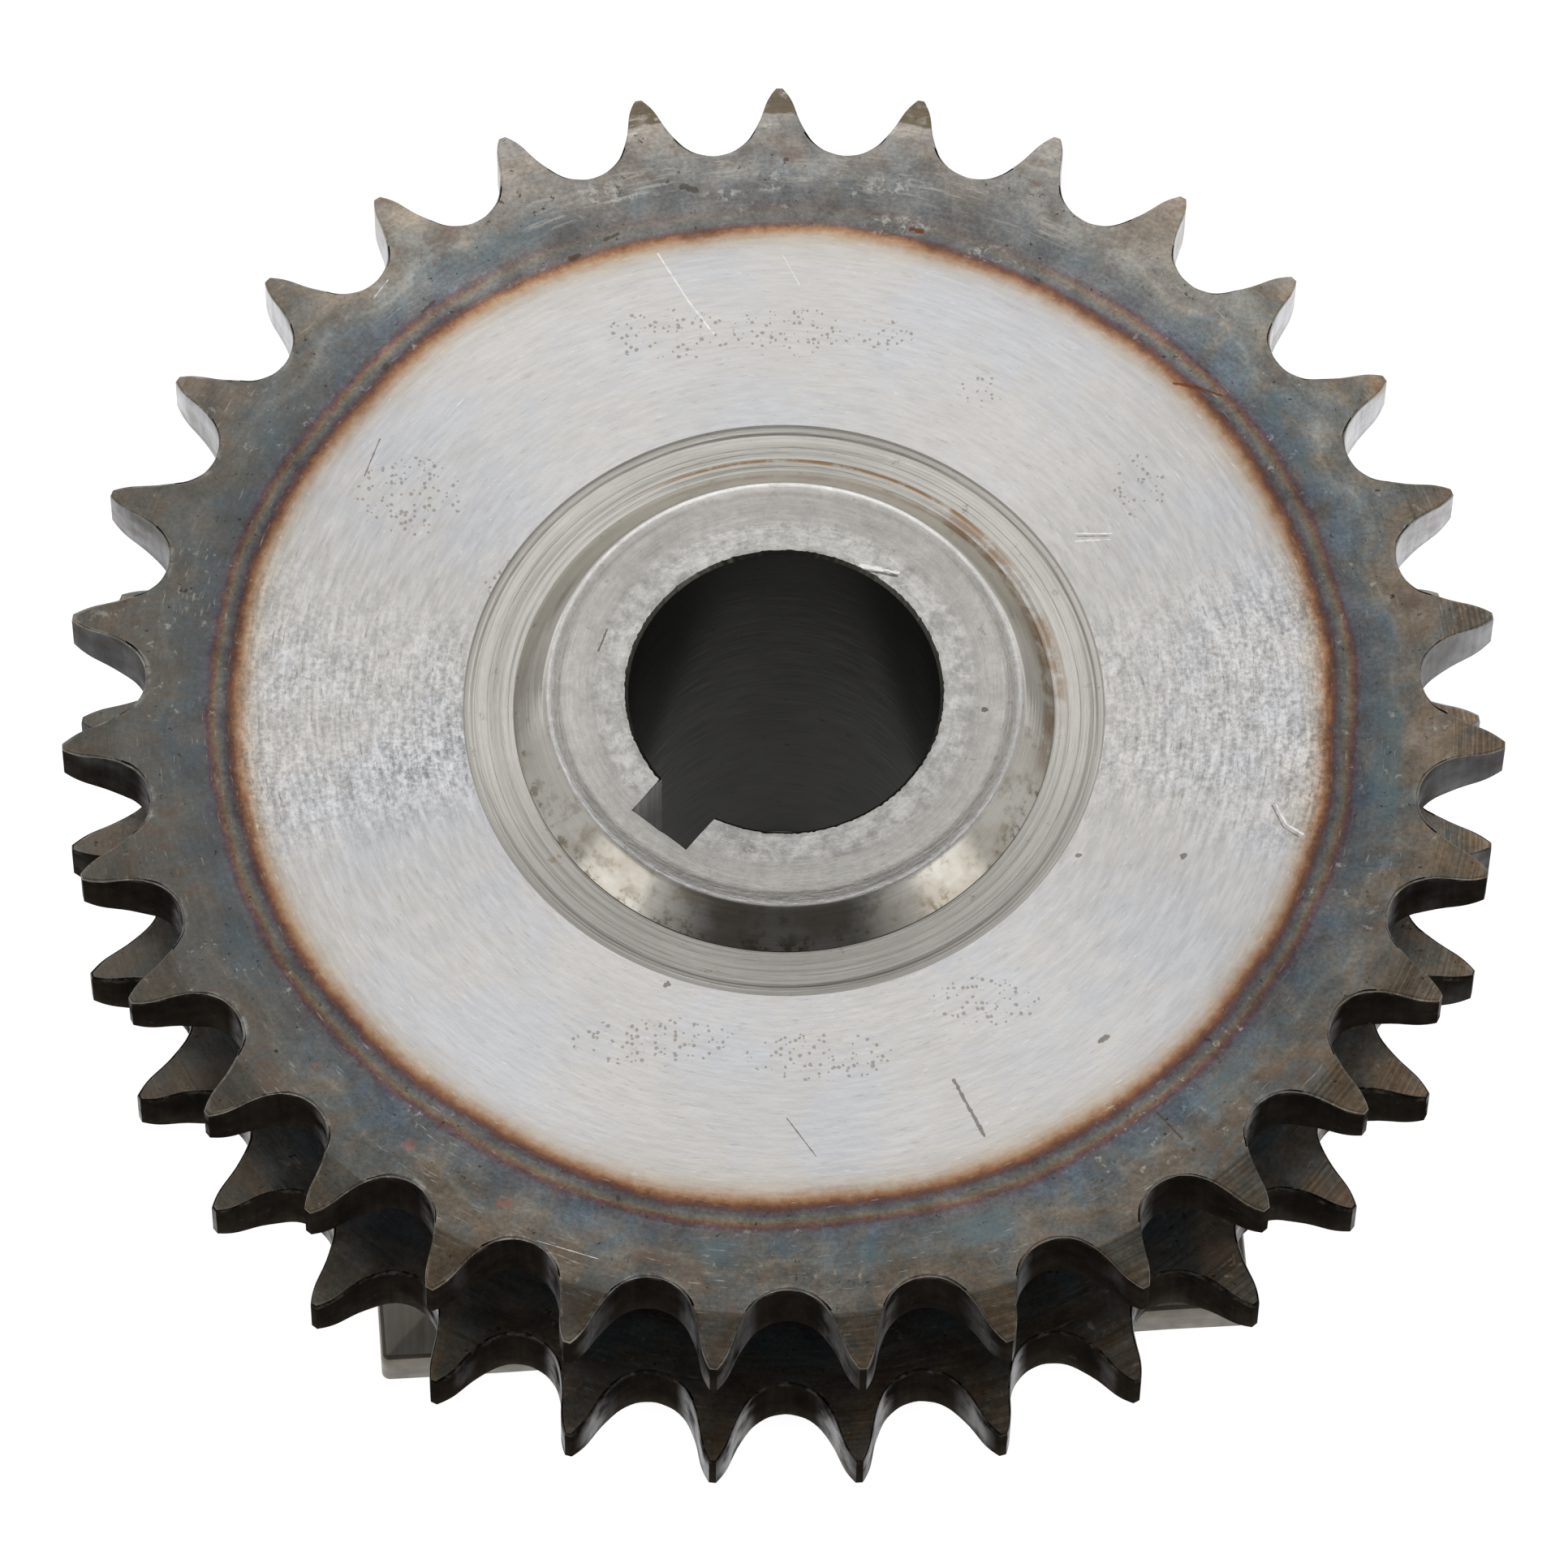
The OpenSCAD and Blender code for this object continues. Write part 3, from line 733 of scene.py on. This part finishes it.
def keyway_material():
    """Broached sides and bottom of the keyway, with lengthwise tool lines. The bottom is darkened as painted
    shade.
    """
    s = Surface("keyway_steel", 0.7)
    lines = s.stretched((1900, 1900, 40), 4, 0.65)
    s.colour = srgb(246, 244, 239)
    s.tone(lines, 0.84, 1.08)
    s.tone(s.noise(300, 4, 0.6), 0.9, 1.06)
    depth = s.vector_math("DOT_PRODUCT", s.coord, (math.cos(KEY_ANGLE), math.sin(KEY_ANGLE), 0))
    # Painted shade: the keyway's bottom is darkened to a fifth.
    s.scale(0.2, s.smooth(depth, KEY_R - 0.25 * MM, KEY_R - 0.1 * MM))
    return s.finish(s.smooth(lines, 0.25, 0.75, 0.42, 0.56), s.bump(lines, 0.05 * MM, 0.6))


def dark_steel_material(name, low, high, roughness):
    """Dull steel under a thin oxide."""
    s = Surface(name)
    s.base(s.smooth(s.noise(160, 5, 0.65), 0.3, 0.7), low, high)
    s.paint(s.smooth(s.noise(900, 4, 0.7), 0.62, 0.72), (128, 96, 66), 0.3)
    rough = s.smooth(s.noise(600, 4), 0.3, 0.7, *roughness)
    return s.finish(rough, s.bump(s.noise(1100, 5, 0.65), 0.08 * MM, 0.5))


def turned_steel_material(name, low, high, roughness):
    """Turned outside surface: fine lines round it over slow, faint clouds, with a few dark specks."""
    s = TurnedSurface(name)
    spread = s.combine(s.mul(s.cos(s.angle), 0.4), s.mul(s.sin(s.angle), 0.4))
    along = s.combine(0.0, 0.0, s.mul(s.add(s.height, s.radius), 3.4))
    lines = s.noise(1.0, 5, 0.65, s.vector_math("ADD", spread, along))
    s.base(s.smooth(lines, 0.3, 0.7), low, high)
    s.tone(s.noise(70, 4, 0.6), 0.9, 1.08)
    s.paint(s.smooth(s.noise(900, 4, 0.7), 0.66, 0.72), (74, 62, 50), 0.4)
    return s.finish(s.smooth(lines, 0.25, 0.75, *roughness), s.bump(lines, 0.05 * MM, 0.5))


def plate_material():
    """Mill surface of the square plate, with fine parallel lines."""
    s = Surface("mill_plate")
    lines = s.stretched((1300, 60, 300), 4, 0.65)
    s.base(s.smooth(s.noise(70, 4, 0.6), 0.3, 0.7), (146, 144, 136), (164, 162, 155))
    s.tone(lines, 0.84, 1.12)
    s.tone(s.noise(420, 5, 0.7), 0.93, 1.05)
    normal = s.bump(lines, 0.04 * MM, 0.5)
    normal = s.bump(s.noise(900, 5, 0.65), 0.06 * MM, 0.4, normal)
    return s.finish(s.smooth(lines, 0.25, 0.75, 0.34, 0.48), normal)


def screw_material():
    """Black oxide of the set screws."""
    s = Surface("black_oxide")
    s.base(s.smooth(s.noise(900, 4, 0.6), 0.4, 0.7), (34, 34, 36), (58, 57, 58))
    return s.finish(s.smooth(s.noise(1200, 3), 0.3, 0.7, 0.3, 0.45), s.bump(s.noise(2500, 4), 0.02 * MM, 0.5))


FACE = row_face_material("tinted_face", front_marks)
REAR_FACE = row_face_material("rear_face", rear_shade)
WALL = tooth_wall_material()
NOSE = nose_material()
FLANK = flank_material()
RECESS = recess_material()
BORE = bore_material()
KEYWAY = keyway_material()
SPACER = turned_steel_material("spacer_steel", (66, 62, 57), (88, 84, 78), (0.34, 0.48))
BARREL = turned_steel_material("barrel_steel", (138, 135, 129), (172, 169, 162), (0.26, 0.4))
WELD = dark_steel_material("weld_bead", (74, 64, 56), (112, 100, 88), (0.3, 0.5))
PLATE = plate_material()
PLATE_EDGE = dark_steel_material("plate_edge", (94, 90, 81), (120, 114, 105), (0.3, 0.45))
SCREW = screw_material()
HUB_MATERIALS = [BARREL, FLANK, NOSE, BORE, KEYWAY]


# ================================================================ toothed rows
def arc(centre, radius, start, stop, steps, side=1):
    """Points centre + side * radius * (sin a, -cos a) for a from start to stop, in radians."""
    angles = np.linspace(start, stop, steps)
    return [centre + side * radius * Vector((math.sin(a), -math.cos(a))) for a in angles]


def tooth_gap():
    """Outline of one tooth gap that opens along +Y: standard roller-chain form, right tip to left tip."""
    seat_a = math.radians(35 + 60 / TEETH)
    work_a = math.radians(18 - 56 / TEETH)
    top_a = math.radians(17 - 64 / TEETH)
    pitch_r = PITCH / (2 * math.sin(math.pi / TEETH))
    seat_r = 0.5 * ROLLER_D + SEAT_ALLOWANCE
    work_r = 0.8 * ROLLER_D + seat_r
    end_a = math.pi / 2 - seat_a + work_a
    work_c = Vector((-0.8 * ROLLER_D * math.cos(seat_a), pitch_r + 0.8 * ROLLER_D * math.sin(seat_a)))
    straight = ROLLER_D * (1.4 * math.sin(top_a) - 0.8 * math.sin(work_a))
    work_end = work_c + work_r * Vector((math.sin(end_a), -math.cos(end_a)))
    straight_end = work_end + straight * Vector((math.cos(end_a), math.sin(end_a)))
    top_r = ROLLER_D * (0.8 * math.cos(work_a) + 1.4 * math.cos(top_a)) - work_r
    top_c = straight_end + top_r * Vector((math.sin(end_a), -math.cos(end_a)))
    corner = math.acos((top_c.length_squared + top_r ** 2 - TIP_R ** 2) / (2 * top_c.length * top_r))
    top_end = math.pi + math.atan2(top_c.y, top_c.x) - corner - math.pi / 2
    work = arc(work_c, work_r, math.pi / 2 - seat_a, end_a, 5)
    flank = work + arc(top_c, top_r, end_a, top_end, 9, -1)
    seat = arc(Vector((0, pitch_r)), seat_r, math.pi / 2 - seat_a, seat_a - math.pi / 2, 17)[1:-1]
    return flank[::-1] + seat + [Vector((-p.x, p.y)) for p in flank]


def row_outline():
    """Whole outline of a row, anticlockwise, with the middle of one tooth on +Y."""
    gap = tooth_gap()
    points = []
    for i in range(TEETH):
        turn = Matrix.Rotation((i + 0.5) * 2 * math.pi / TEETH, 2)
        points += [turn @ p for p in gap]
    return points


def inward_normals(points):
    """Unit normals that point into a closed anticlockwise outline."""
    normals = []
    for i, p in enumerate(points):
        along = (points[(i + 1) % len(points)] - p).normalized() + (p - points[i - 1]).normalized()
        along.normalize()
        normals.append(Vector((-along.y, along.x)))
    return normals


def outer_wall(p, n, z_low, z_high, edge):
    """Wall of a plate at outline point p, from bottom to top, with both edges rounded by edge."""
    near = p + n * edge * 0.3
    steps = [(near, z_low + edge * 0.3), (p, z_low + edge)]
    steps += [(p, z_low + edge + (z_high - z_low - 2 * edge) * share) for share in (0.33, 0.67)]
    steps += [(p, z_high - edge), (near, z_high - edge * 0.3)]
    return [(q.x, q.y, z) for q, z in steps]


def row_columns(z_low, z_high, hole, front_inner, edge_kind=0):
    """(columns, face materials, nearness) of a toothed plate: back face outwards, wall up, front face
    inwards, then down the hole. hole is its (r, z) profile, front_inner the radius where the front face ends,
    and edge_kind the material of the wall's rounded top edge. Materials are 0 face, 1 wall, 2 hole, and
    nearness is
    1 at the tooth edges and 0 from EDGE_BAND_W away; it drives the scuffed edges and the painted edge
    highlight."""
    rim_r = TIP_R - BEVEL_L
    slope = BEVEL_T / BEVEL_L
    outline = row_outline()
    columns, nearness = [], []
    for p, n in zip(outline, inward_normals(outline)):
        direction = p.normalized()
        edge = 0.2 * MM * (1 + wobble(math.atan2(p.y, p.x), 4, (37, 0.2), (91, 0.15), (213, 0.15)))
        lip = p + n * edge
        rim = direction * min(rim_r, lip.length - 0.06 * MM)
        root = direction * ROOT_R
        tooth = [root.lerp(rim, share) for share in (0, 0.4, 0.75, 1)]
        tooth += [rim.lerp(lip, share) for share in (0.3, 0.65, 0.96, 1)]

        def face(inner_r, z, side):
            flat = [direction * (inner_r + (ROOT_R - inner_r) * share) for share in (0, 0.25, 0.5, 0.75)]
            return [(q.x, q.y, z - side * slope * max(0.0, q.length - rim_r)) for q in flat + tooth]

        back = face(hole[-1][0], z_low, -1)
        front = face(front_inner, z_high, 1)[::-1]
        wall = outer_wall(p, n, back[-1][2], front[0][2], edge)
        down = [(direction.x * r, direction.y * r, z) for r, z in hole[:-1]]
        columns.append(back + wall + front + down)
        reach = [max(0.0, 1 - (lip.length - math.hypot(q[0], q[1])) / EDGE_BAND_W) for q in back + front]
        nearness += reach[:len(back)] + [0, 0, 0, 0, 1, 1] + reach[len(back):] + [0] * len(down)
    kinds = [0] * (len(back) - 1) + [1] * (len(wall) - 1) + [edge_kind] * 2
    kinds += [0] * (len(front) - 1) + [2] * (len(down) + 1)
    return np.array(columns), kinds, nearness


def toothed_row(name, columns, kinds, nearness, materials):
    """Mesh of a row, with its distance from the tooth edges kept as a point attribute for the scuffed edges
    and the painted edge highlight.
    """
    row = loft(name, columns, materials, kinds, 25)
    row.data.attributes.new("edge_nearness", "FLOAT", "POINT").data.foreach_set("value", nearness)
    return row


def build_rows():
    """Both rows: the rear one on the barrel, the front one with the recess and the weld's groove in it."""
    step = 0.06 * MM
    rear_hole = [(BARREL_R, REAR_HI.z - step), (BARREL_R, REAR_LO.z)]
    parts = row_columns(REAR_LO.z, REAR_HI.z, rear_hole, BARREL_R + step, 1)
    rear = toothed_row("rear_row", *parts, [REAR_FACE, WALL, SPACER])
    finish_piece(rear, "rear_sprocket")

    floor_z = FRONT_WELD_HI.z
    front_hole = [(RECESS_R, FRONT_HI.z - step), (RECESS_R - 1.5 * step, floor_z), (WELD_R, floor_z),
                  (BARREL_R, FRONT_WELD_LO.z), (BARREL_R, FRONT_LO.z)]
    parts = row_columns(FRONT_LO.z, FRONT_HI.z, front_hole, RECESS_R + step)
    front = toothed_row("front_row", *parts, [FACE, WALL, RECESS])
    finish_piece(front, "front_sprocket")


# ================================================================ hub
def keyed_radius(turn):
    """Inner radius at an angle off the keyway's middle: the bore, a keyway side, or its bottom."""
    half = KEY_W / 2
    turn = abs(turn)
    if turn > math.asin(half / BORE_R):
        return BORE_R
    if turn > math.atan(half / KEY_R):
        return half / math.sin(turn)
    return KEY_R / math.cos(turn)


def hub_turns():
    """Angles of the hub's columns off the keyway's middle, closer together where its walls are."""
    corner = math.atan(KEY_W / 2 / KEY_R)
    mouth = math.asin(KEY_W / 2 / BORE_R)
    side = list(np.linspace(0, corner, 5)) + list(np.linspace(corner, mouth, 6))[1:]
    rest = list(np.linspace(mouth, 2 * math.pi - mouth, 331))[1:-1]
    return [-a for a in reversed(side[1:])] + side + rest


def nose_profile():
    """(r, z) points in two lists: the cone's flank from its foot up, and the rounded edge up to the flat."""
    foot = Vector((HUB_R, FRONT_WELD_HI.z))
    top = Vector((NOSE_EDGE_R, HUB_HI.z - NOSE_EDGE_T))
    reach = Vector((NOSE_FLAT_R, HUB_HI.z)) - top
    flank = [foot.lerp(top, share) for share in (0, 0.04, 0.12, 0.3, 0.5, 0.7, 0.88)]
    turn = [(0.01, 0.03), (0.05, 0.13), (0.12, 0.22), (0.5, 0.6), (0.88, 0.94), (1.04, 1.0)]
    rounded = [Vector((top.x + reach.x * u, top.y + reach.y * v)) for u, v in turn]
    return flank, rounded


def build_hub():
    """Hub as columns round the axis: barrel, flank and nose, then down the bore or the keyway."""
    chamfer, back_chamfer, corner = 0.3 * MM, 0.12 * MM, 0.4 * MM
    rng = random.Random(11)
    flank, rounded = nose_profile()
    barrel = [Vector((HUB_R - corner, 0)), Vector((HUB_R, corner))]
    barrel += [Vector((HUB_R, z * MM)) for z in (5, 10, 21, 26, 40, 53)]
    flat = [Vector((19.4 * MM, HUB_HI.z))]
    columns = []
    for turn in hub_turns():
        nick = (rng.random() ** 3) * 0.12 * MM
        wall_r = keyed_radius(turn)
        in_keyway = wall_r > BORE_R + chamfer
        lip = 0.05 * MM if in_keyway else chamfer
        edge_r = max(wall_r, BORE_R + chamfer) + nick + (lip if in_keyway else 0)
        inner = [Vector((edge_r, HUB_HI.z)), Vector((wall_r, HUB_HI.z - lip - nick))]
        inner += [Vector((wall_r, z * MM)) for z in (45, 30, 21, 10)]
        inner += [Vector((wall_r, back_chamfer)), Vector((max(wall_r, BORE_R + back_chamfer), 0))]
        inner += [Vector((20 * MM, 0))]
        profile = barrel + flank + rounded + flat + inner
        columns.append([round_point(p.x, KEY_ANGLE + turn, p.y) for p in profile])
    kinds = [BARREL] * len(barrel) + [FLANK] * len(flank) + [NOSE] * len(rounded + flat)
    kinds += [BORE] * (len(inner) - 2) + [BARREL] * 2
    kinds = [HUB_MATERIALS.index(kind) for kind in kinds]
    hub = loft("hub_body", np.array(columns), HUB_MATERIALS, kinds, 30)
    bore, keyway = HUB_MATERIALS.index(BORE), HUB_MATERIALS.index(KEYWAY)
    for face in hub.data.polygons:
        outside_bore = face.center.xy.length > BORE_R + 0.05 * MM
        if face.material_index == bore and outside_bore and abs(face.normal.z) < 0.1:
            face.material_index = keyway
    for joint in frame["joints"]:
        drill(hub, joint)
    finish_piece(hub, "hub")


def screw_node(joint):
    return joint["child"].replace("_screw", "_set_screw")


def screw_frame(joint):
    """(matrix, length) of a set screw: the matrix takes +Z to the outward axis, from the screw's point."""
    low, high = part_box(screw_node(joint))
    axis = Vector(joint["axis"]).normalized()
    reach = (high - low).dot(Vector((abs(axis.x), abs(axis.y), 0)))
    length = reach - (high.z - low.z) * 2 * abs(axis.x * axis.y)
    start = (low + high) / 2 - axis * length / 2
    return Matrix.Translation(start) @ axis.to_track_quat("Z", "Y").to_matrix().to_4x4(), length


def drill(obj, joint):
    """Cuts the tapped hole of a set screw through the barrel, with a small chamfer at its outer end."""
    matrix, _ = screw_frame(joint)
    radius = SCREW_R + SCREW_FIT
    surface = HUB_R - matrix.translation.xy.length
    bottom, top = -1 * MM, surface + 0.7 * MM
    profile = [(0, bottom), (radius, bottom), (radius, surface - 0.5 * MM)]
    profile += [(radius + 1.2 * MM, top), (0, top)]
    columns = [[round_point(r, a, z) for r, z in profile] for a in np.linspace(0, 2 * math.pi, 64, False)]
    kinds = [HUB_MATERIALS.index(BORE)] * len(profile)
    cutter = loft("cutter", np.array(columns), HUB_MATERIALS, kinds, wrap=False)
    cutter.matrix_world = matrix
    cut = obj.modifiers.new("hole", "BOOLEAN")
    cut.operation = "DIFFERENCE"
    cut.solver = "EXACT"
    cut.object = cutter
    bpy.context.view_layer.update()
    mesh = bpy.data.meshes.new_from_object(obj.evaluated_get(bpy.context.evaluated_depsgraph_get()))
    obj.modifiers.clear()
    obj.data = mesh
    mesh.set_sharp_from_angle(angle=math.radians(30))
    bpy.data.objects.remove(cutter)


# ================================================================ welds, ring and plate
def build_front_weld():
    """Weld metal turned flush in the recess, with the tool's grooves in its face."""
    grooves = [(0.0, 0.10), (0.06, 0.16), (0.12, 0.10), (0.2, 0.05), (0.3, 0.09), (0.36, 0.04), (0.44, 0.08),
               (0.5, 0.02), (0.6, 0.05), (0.66, 0.01), (0.74, 0.05), (0.8, 0.0), (0.88, 0.07), (0.92, 0.12),
               (0.95, 0.03), (1.0, 0.0)]  # (share of the way out, depth in mm)
    face = [(WELD_R - (WELD_R - BARREL_R) * (1 - u), FRONT_WELD_HI.z - depth * MM) for u, depth in grooves]
    profile = [(BARREL_R, FRONT_WELD_LO.z)] + face[::-1]

    def ripple(a, r, z):
        return r, z - (0.015 * MM * (1 + math.sin(5 * a + r * 4000)) if z > FRONT_WELD_LO.z else 0)

    ring = lathe("weld_ring", profile, [RECESS], 360, ripple, 60)
    finish_piece(ring, "front_weld")


def fillet_bead(name, node, base_z, side, leg, seed):
    """Fillet weld round the barrel, laid as overlapping crescents, with its wide end on base_z."""
    ripples, rows = 104, 13
    steps = ripples * 8
    columns = np.zeros((steps, rows + 1, 3))
    for i in range(steps):
        a = 2 * math.pi * i / steps
        size = leg * (0.9 + wobble(a, seed, (3, 0.03), (7, 0.03), (17, 0.03)))
        columns[i, 0] = round_point(BARREL_R, a, base_z)
        for k in range(rows):
            t = math.pi / 2 * k / (rows - 1)
            lag = 1.6 * math.sin(2 * t)
            ridge = 0.5 + 0.5 * math.cos(ripples * a + lag + wobble(a, seed + 1, (5, 1.5), (11, 0.8)))
            fall = math.sin(2 * t) * 0.045 * (1 - ridge) ** 2
            r = BARREL_R + size * math.cos(t) ** 1.25 * (1 - fall)
            z = base_z + side * size * math.sin(t) ** 1.25 * (1 - fall)
            columns[i, k + 1] = round_point(r, a, z)
    if side < 0:
        columns = columns[::-1]
    bead = loft(name, columns, [WELD], smooth_angle=70)
    finish_piece(bead, node)


def build_spacer():
    """Turned ring between the rows, with rounded edges and tool lines."""
    inner, outer = BARREL_R, SPACER_HI.x
    edge = 0.5 * MM
    low, high = SPACER_LO.z, SPACER_HI.z
    profile = [(inner, low), (outer - edge, low), (outer - edge * 0.3, low + edge * 0.3), (outer, low + edge)]
    profile += [(outer, low + (high - low) * share) for share in (0.3, 0.5, 0.7)]
    profile += [(outer, high - edge), (outer - edge * 0.3, high - edge * 0.3), (outer - edge, high)]
    profile += [(inner, high)]

    def ripple(a, r, z):
        return (r - 0.02 * MM * (1 + math.sin(z * 5200 + a)) if r > inner else r), z

    ring = lathe("row_ring", profile, [SPACER], 256, ripple)
    finish_piece(ring, "row_spacer")


def build_rear_plate():
    """Square plate with slightly rounded, rolled edges and a hole for the barrel."""
    half = PLATE_SIDE / 2
    corner_r = 0.8 * MM
    centre = Vector((half - corner_r, half - corner_r))
    side = [Vector((half, y)) for y in np.linspace(-half + corner_r, half - corner_r, 25)]
    bend = [centre + corner_r * Vector((math.cos(t), math.sin(t))) for t in np.linspace(0, math.pi / 2, 7)]
    outline = []
    for i in range(4):
        turn = Matrix.Rotation(i * math.pi / 2, 2)
        outline += [turn @ p for p in side[:-1] + bend[:-1]]
    place = Matrix.Rotation(PLATE_TURN, 2)
    outline = [place @ (p + Vector((PLATE_SHIFT, 0))) for p in outline]
    columns = []
    for p, n in zip(outline, inward_normals(outline)):
        edge = 0.45 * MM * (1 + wobble(math.atan2(p.y, p.x), 9, (9, 0.15), (31, 0.15), (83, 0.1)))
        flat = [(p.normalized() * BARREL_R).lerp(p + n * edge, share) for share in (0, 0.35, 0.7, 1)]
        wall = outer_wall(p, n, PLATE_LO.z, PLATE_HI.z, edge)
        back = [(q.x, q.y, PLATE_LO.z) for q in flat]
        front = [(q.x, q.y, PLATE_HI.z) for q in reversed(flat)]
        columns.append(back + wall + front)
    kinds = [0] * 3 + [1] * 7 + [0] * 4
    plate = loft("rear_plate", np.array(columns), [PLATE, PLATE_EDGE], kinds, 35)
    finish_piece(plate, "square_plate")


# ================================================================ set screws
def build_set_screw(joint):
    """Socket set screw with helical thread, cup point and hex socket, built along +Z and put in its hole."""
    matrix, length = screw_frame(joint)
    thread_pitch, depth, point, lead = 0.907 * MM, 0.42 * MM, 0.9 * MM, 0.45 * MM
    steps, per_turn = 72, 10
    threaded = length - point - lead
    rows = int(threaded / thread_pitch * per_turn)
    columns = []
    for i in range(steps):
        a = 2 * math.pi * i / steps
        profile = [(0, 0.6 * MM), (SCREW_R - 1.5 * MM, 0.05 * MM), (SCREW_R - 1.15 * MM, 0)]
        profile += [(SCREW_R - point, 0.08 * MM)]
        for k in range(rows + 1):
            z = point + threaded * k / rows
            phase = (z / thread_pitch - a / (2 * math.pi)) % 1
            crest = min(1.0, abs(phase - 0.5) * 2 * 1.2)
            fade = min(1.0, (z - point) / thread_pitch + 0.3, (length - lead - z) / thread_pitch + 0.3)
            profile.append((SCREW_R - depth * crest * fade, z))
        profile += [(SCREW_R - 0.35 * MM, length - 0.1 * MM), (SCREW_R - 0.5 * MM, length)]
        flat = SOCKET_AF / 2 / math.cos((a + math.pi / 6) % (math.pi / 3) - math.pi / 6)
        profile += [(flat + 0.25 * MM, length), (flat, length - 0.25 * MM), (flat, length - SOCKET_T)]
        profile += [(0, length - SOCKET_T - 0.5 * MM)]
        columns.append([round_point(r, a, z) for r, z in profile])
    screw = loft(joint["child"] + "_body", np.array(columns), [SCREW], smooth_angle=35, wrap=False)
    screw.data.transform(matrix)
    finish_piece(screw, screw_node(joint), joint["child"])


# ================================================================ stage
def build_floor():
    """Pale floor that glows round the part. The glow falls away under the hub as a painted shadow, and a
    faint glow inside its bore is a painted pool of light.
    """
    s = Surface("pale_floor", 0)
    s.base(s.noise(3, 2), (142, 142, 142), (138, 138, 138))
    distance = s.vector_math("LENGTH", s.coord)
    # Painted shadow: no glow within 30 mm of the axis. Painted pool of light: a faint glow inside the bore.
    outside = s.smooth(distance, 30 * MM, 50 * MM, 0.0, 0.94)
    in_bore = s.smooth(distance, 13.6 * MM, 14.8 * MM, 0.22, 0.015)
    s.bsdf.inputs["Emission Color"].default_value = (1, 1, 1, 1)
    s.link(s.add(outside, in_bore), s.bsdf.inputs["Emission Strength"])
    s.finish(0.6, s.bump(s.noise(400, 3), 0.05 * MM, 0.2))
    size, z = 3, -0.1 * MM
    corners = [(-size, -size, z), (size, -size, z), (size, size, z), (-size, size, z)]
    make_object("floor", corners, [(0, 1, 2, 3)], [s.material])


def build_room():
    """Grey room with a bright back wall, dimmer sides, and two lower soft boxes in front."""
    world = bpy.data.worlds.new("studio")
    bpy.context.scene.world = world
    world.use_nodes = True
    s = Nodes(world.node_tree, "Generated")
    x, y, z = s.split(s.coord)
    side = s.smooth(s.abs(x), 0.35, 0.75, 0.0, 0.5)
    low = s.max(s.add(side, 0.08), s.smooth(y, 0.2, 0.7, 0.0, 0.97))
    high = s.mul(s.smooth(y, -0.18, 0.42, 0.3, 0.86), s.smooth(s.abs(x), 0.2, 0.6, 1.0, 0.62))
    share = s.smooth(s.add(z, s.smooth(y, -0.6, 0.3, -0.2, 0.0)), 0.25, 0.75)
    level = s.add(s.mul(high, share), s.mul(low, s.sub(1.0, share)))
    for sign in (-1, 1):
        facing = s.vector_math("DOT_PRODUCT", s.coord, (sign * 0.81, -0.5, 0.28))
        level = s.add(level, s.smooth(facing, 0.965, 0.985, 0.0, 0.62))
    background = s.tree.nodes["Background"]
    s.link(s.combine(level, level, level), background.inputs["Color"])
    background.inputs["Strength"].default_value = 1.0


def build_soft_box():
    """Soft rectangular light overhead, a little behind the part."""
    place, aim = Vector((0, 1.0, 1.3)), Vector((0, 0.7, 0))
    light = bpy.data.lights.new("overhead", "AREA")
    light.shape = "RECTANGLE"
    light.size, light.size_y = 0.7, 1.5
    light.energy = 1.35
    lamp = bpy.data.objects.new("overhead", light)
    bpy.context.scene.collection.objects.link(lamp)
    lamp.location = place
    lamp.rotation_euler = (place - aim).to_track_quat("Z", "Y").to_euler()


def build_camera():
    """Long lens at the photograph's angle: 63 degrees above the horizon, with a very slight roll."""
    azimuth, elevation, roll = math.radians(-1.395), math.radians(63.1), math.radians(0.4)
    aim = Vector((0, -5.85 * MM, 49.89 * MM))
    distance = 1.1137
    level = math.cos(elevation)
    back = Vector((math.sin(azimuth) * level, -math.cos(azimuth) * level, math.sin(elevation)))
    right = Vector((0, 1, 0)).cross(back).normalized()
    up = back.cross(right)
    right, up = (right * math.cos(roll) - up * math.sin(roll), up * math.cos(roll) + right * math.sin(roll))
    data = bpy.data.cameras.new("camera")
    data.lens = 278.56
    data.sensor_width = 36
    data.clip_start = 0.05
    camera = bpy.data.objects.new("camera", data)
    bpy.context.scene.collection.objects.link(camera)
    turn = Matrix((right, up, back)).transposed().to_4x4()
    camera.matrix_world = Matrix.Translation(aim + back * distance) @ turn
    bpy.context.scene.camera = camera


# ================================================================ everything
build_camera()
build_floor()
build_room()
build_soft_box()
build_rows()
build_hub()
build_front_weld()
build_spacer()
fillet_bead("rear_bead", "rear_weld", REAR_LO.z, -1, REAR_WELD_R - BARREL_R, 21)
fillet_bead("plate_bead", "plate_weld", PLATE_HI.z, 1, PLATE_WELD_R - BARREL_R, 22)
build_rear_plate()
for screw_joint in frame["joints"]:
    build_set_screw(screw_joint)
bpy.context.scene.view_settings.view_transform = "Standard"
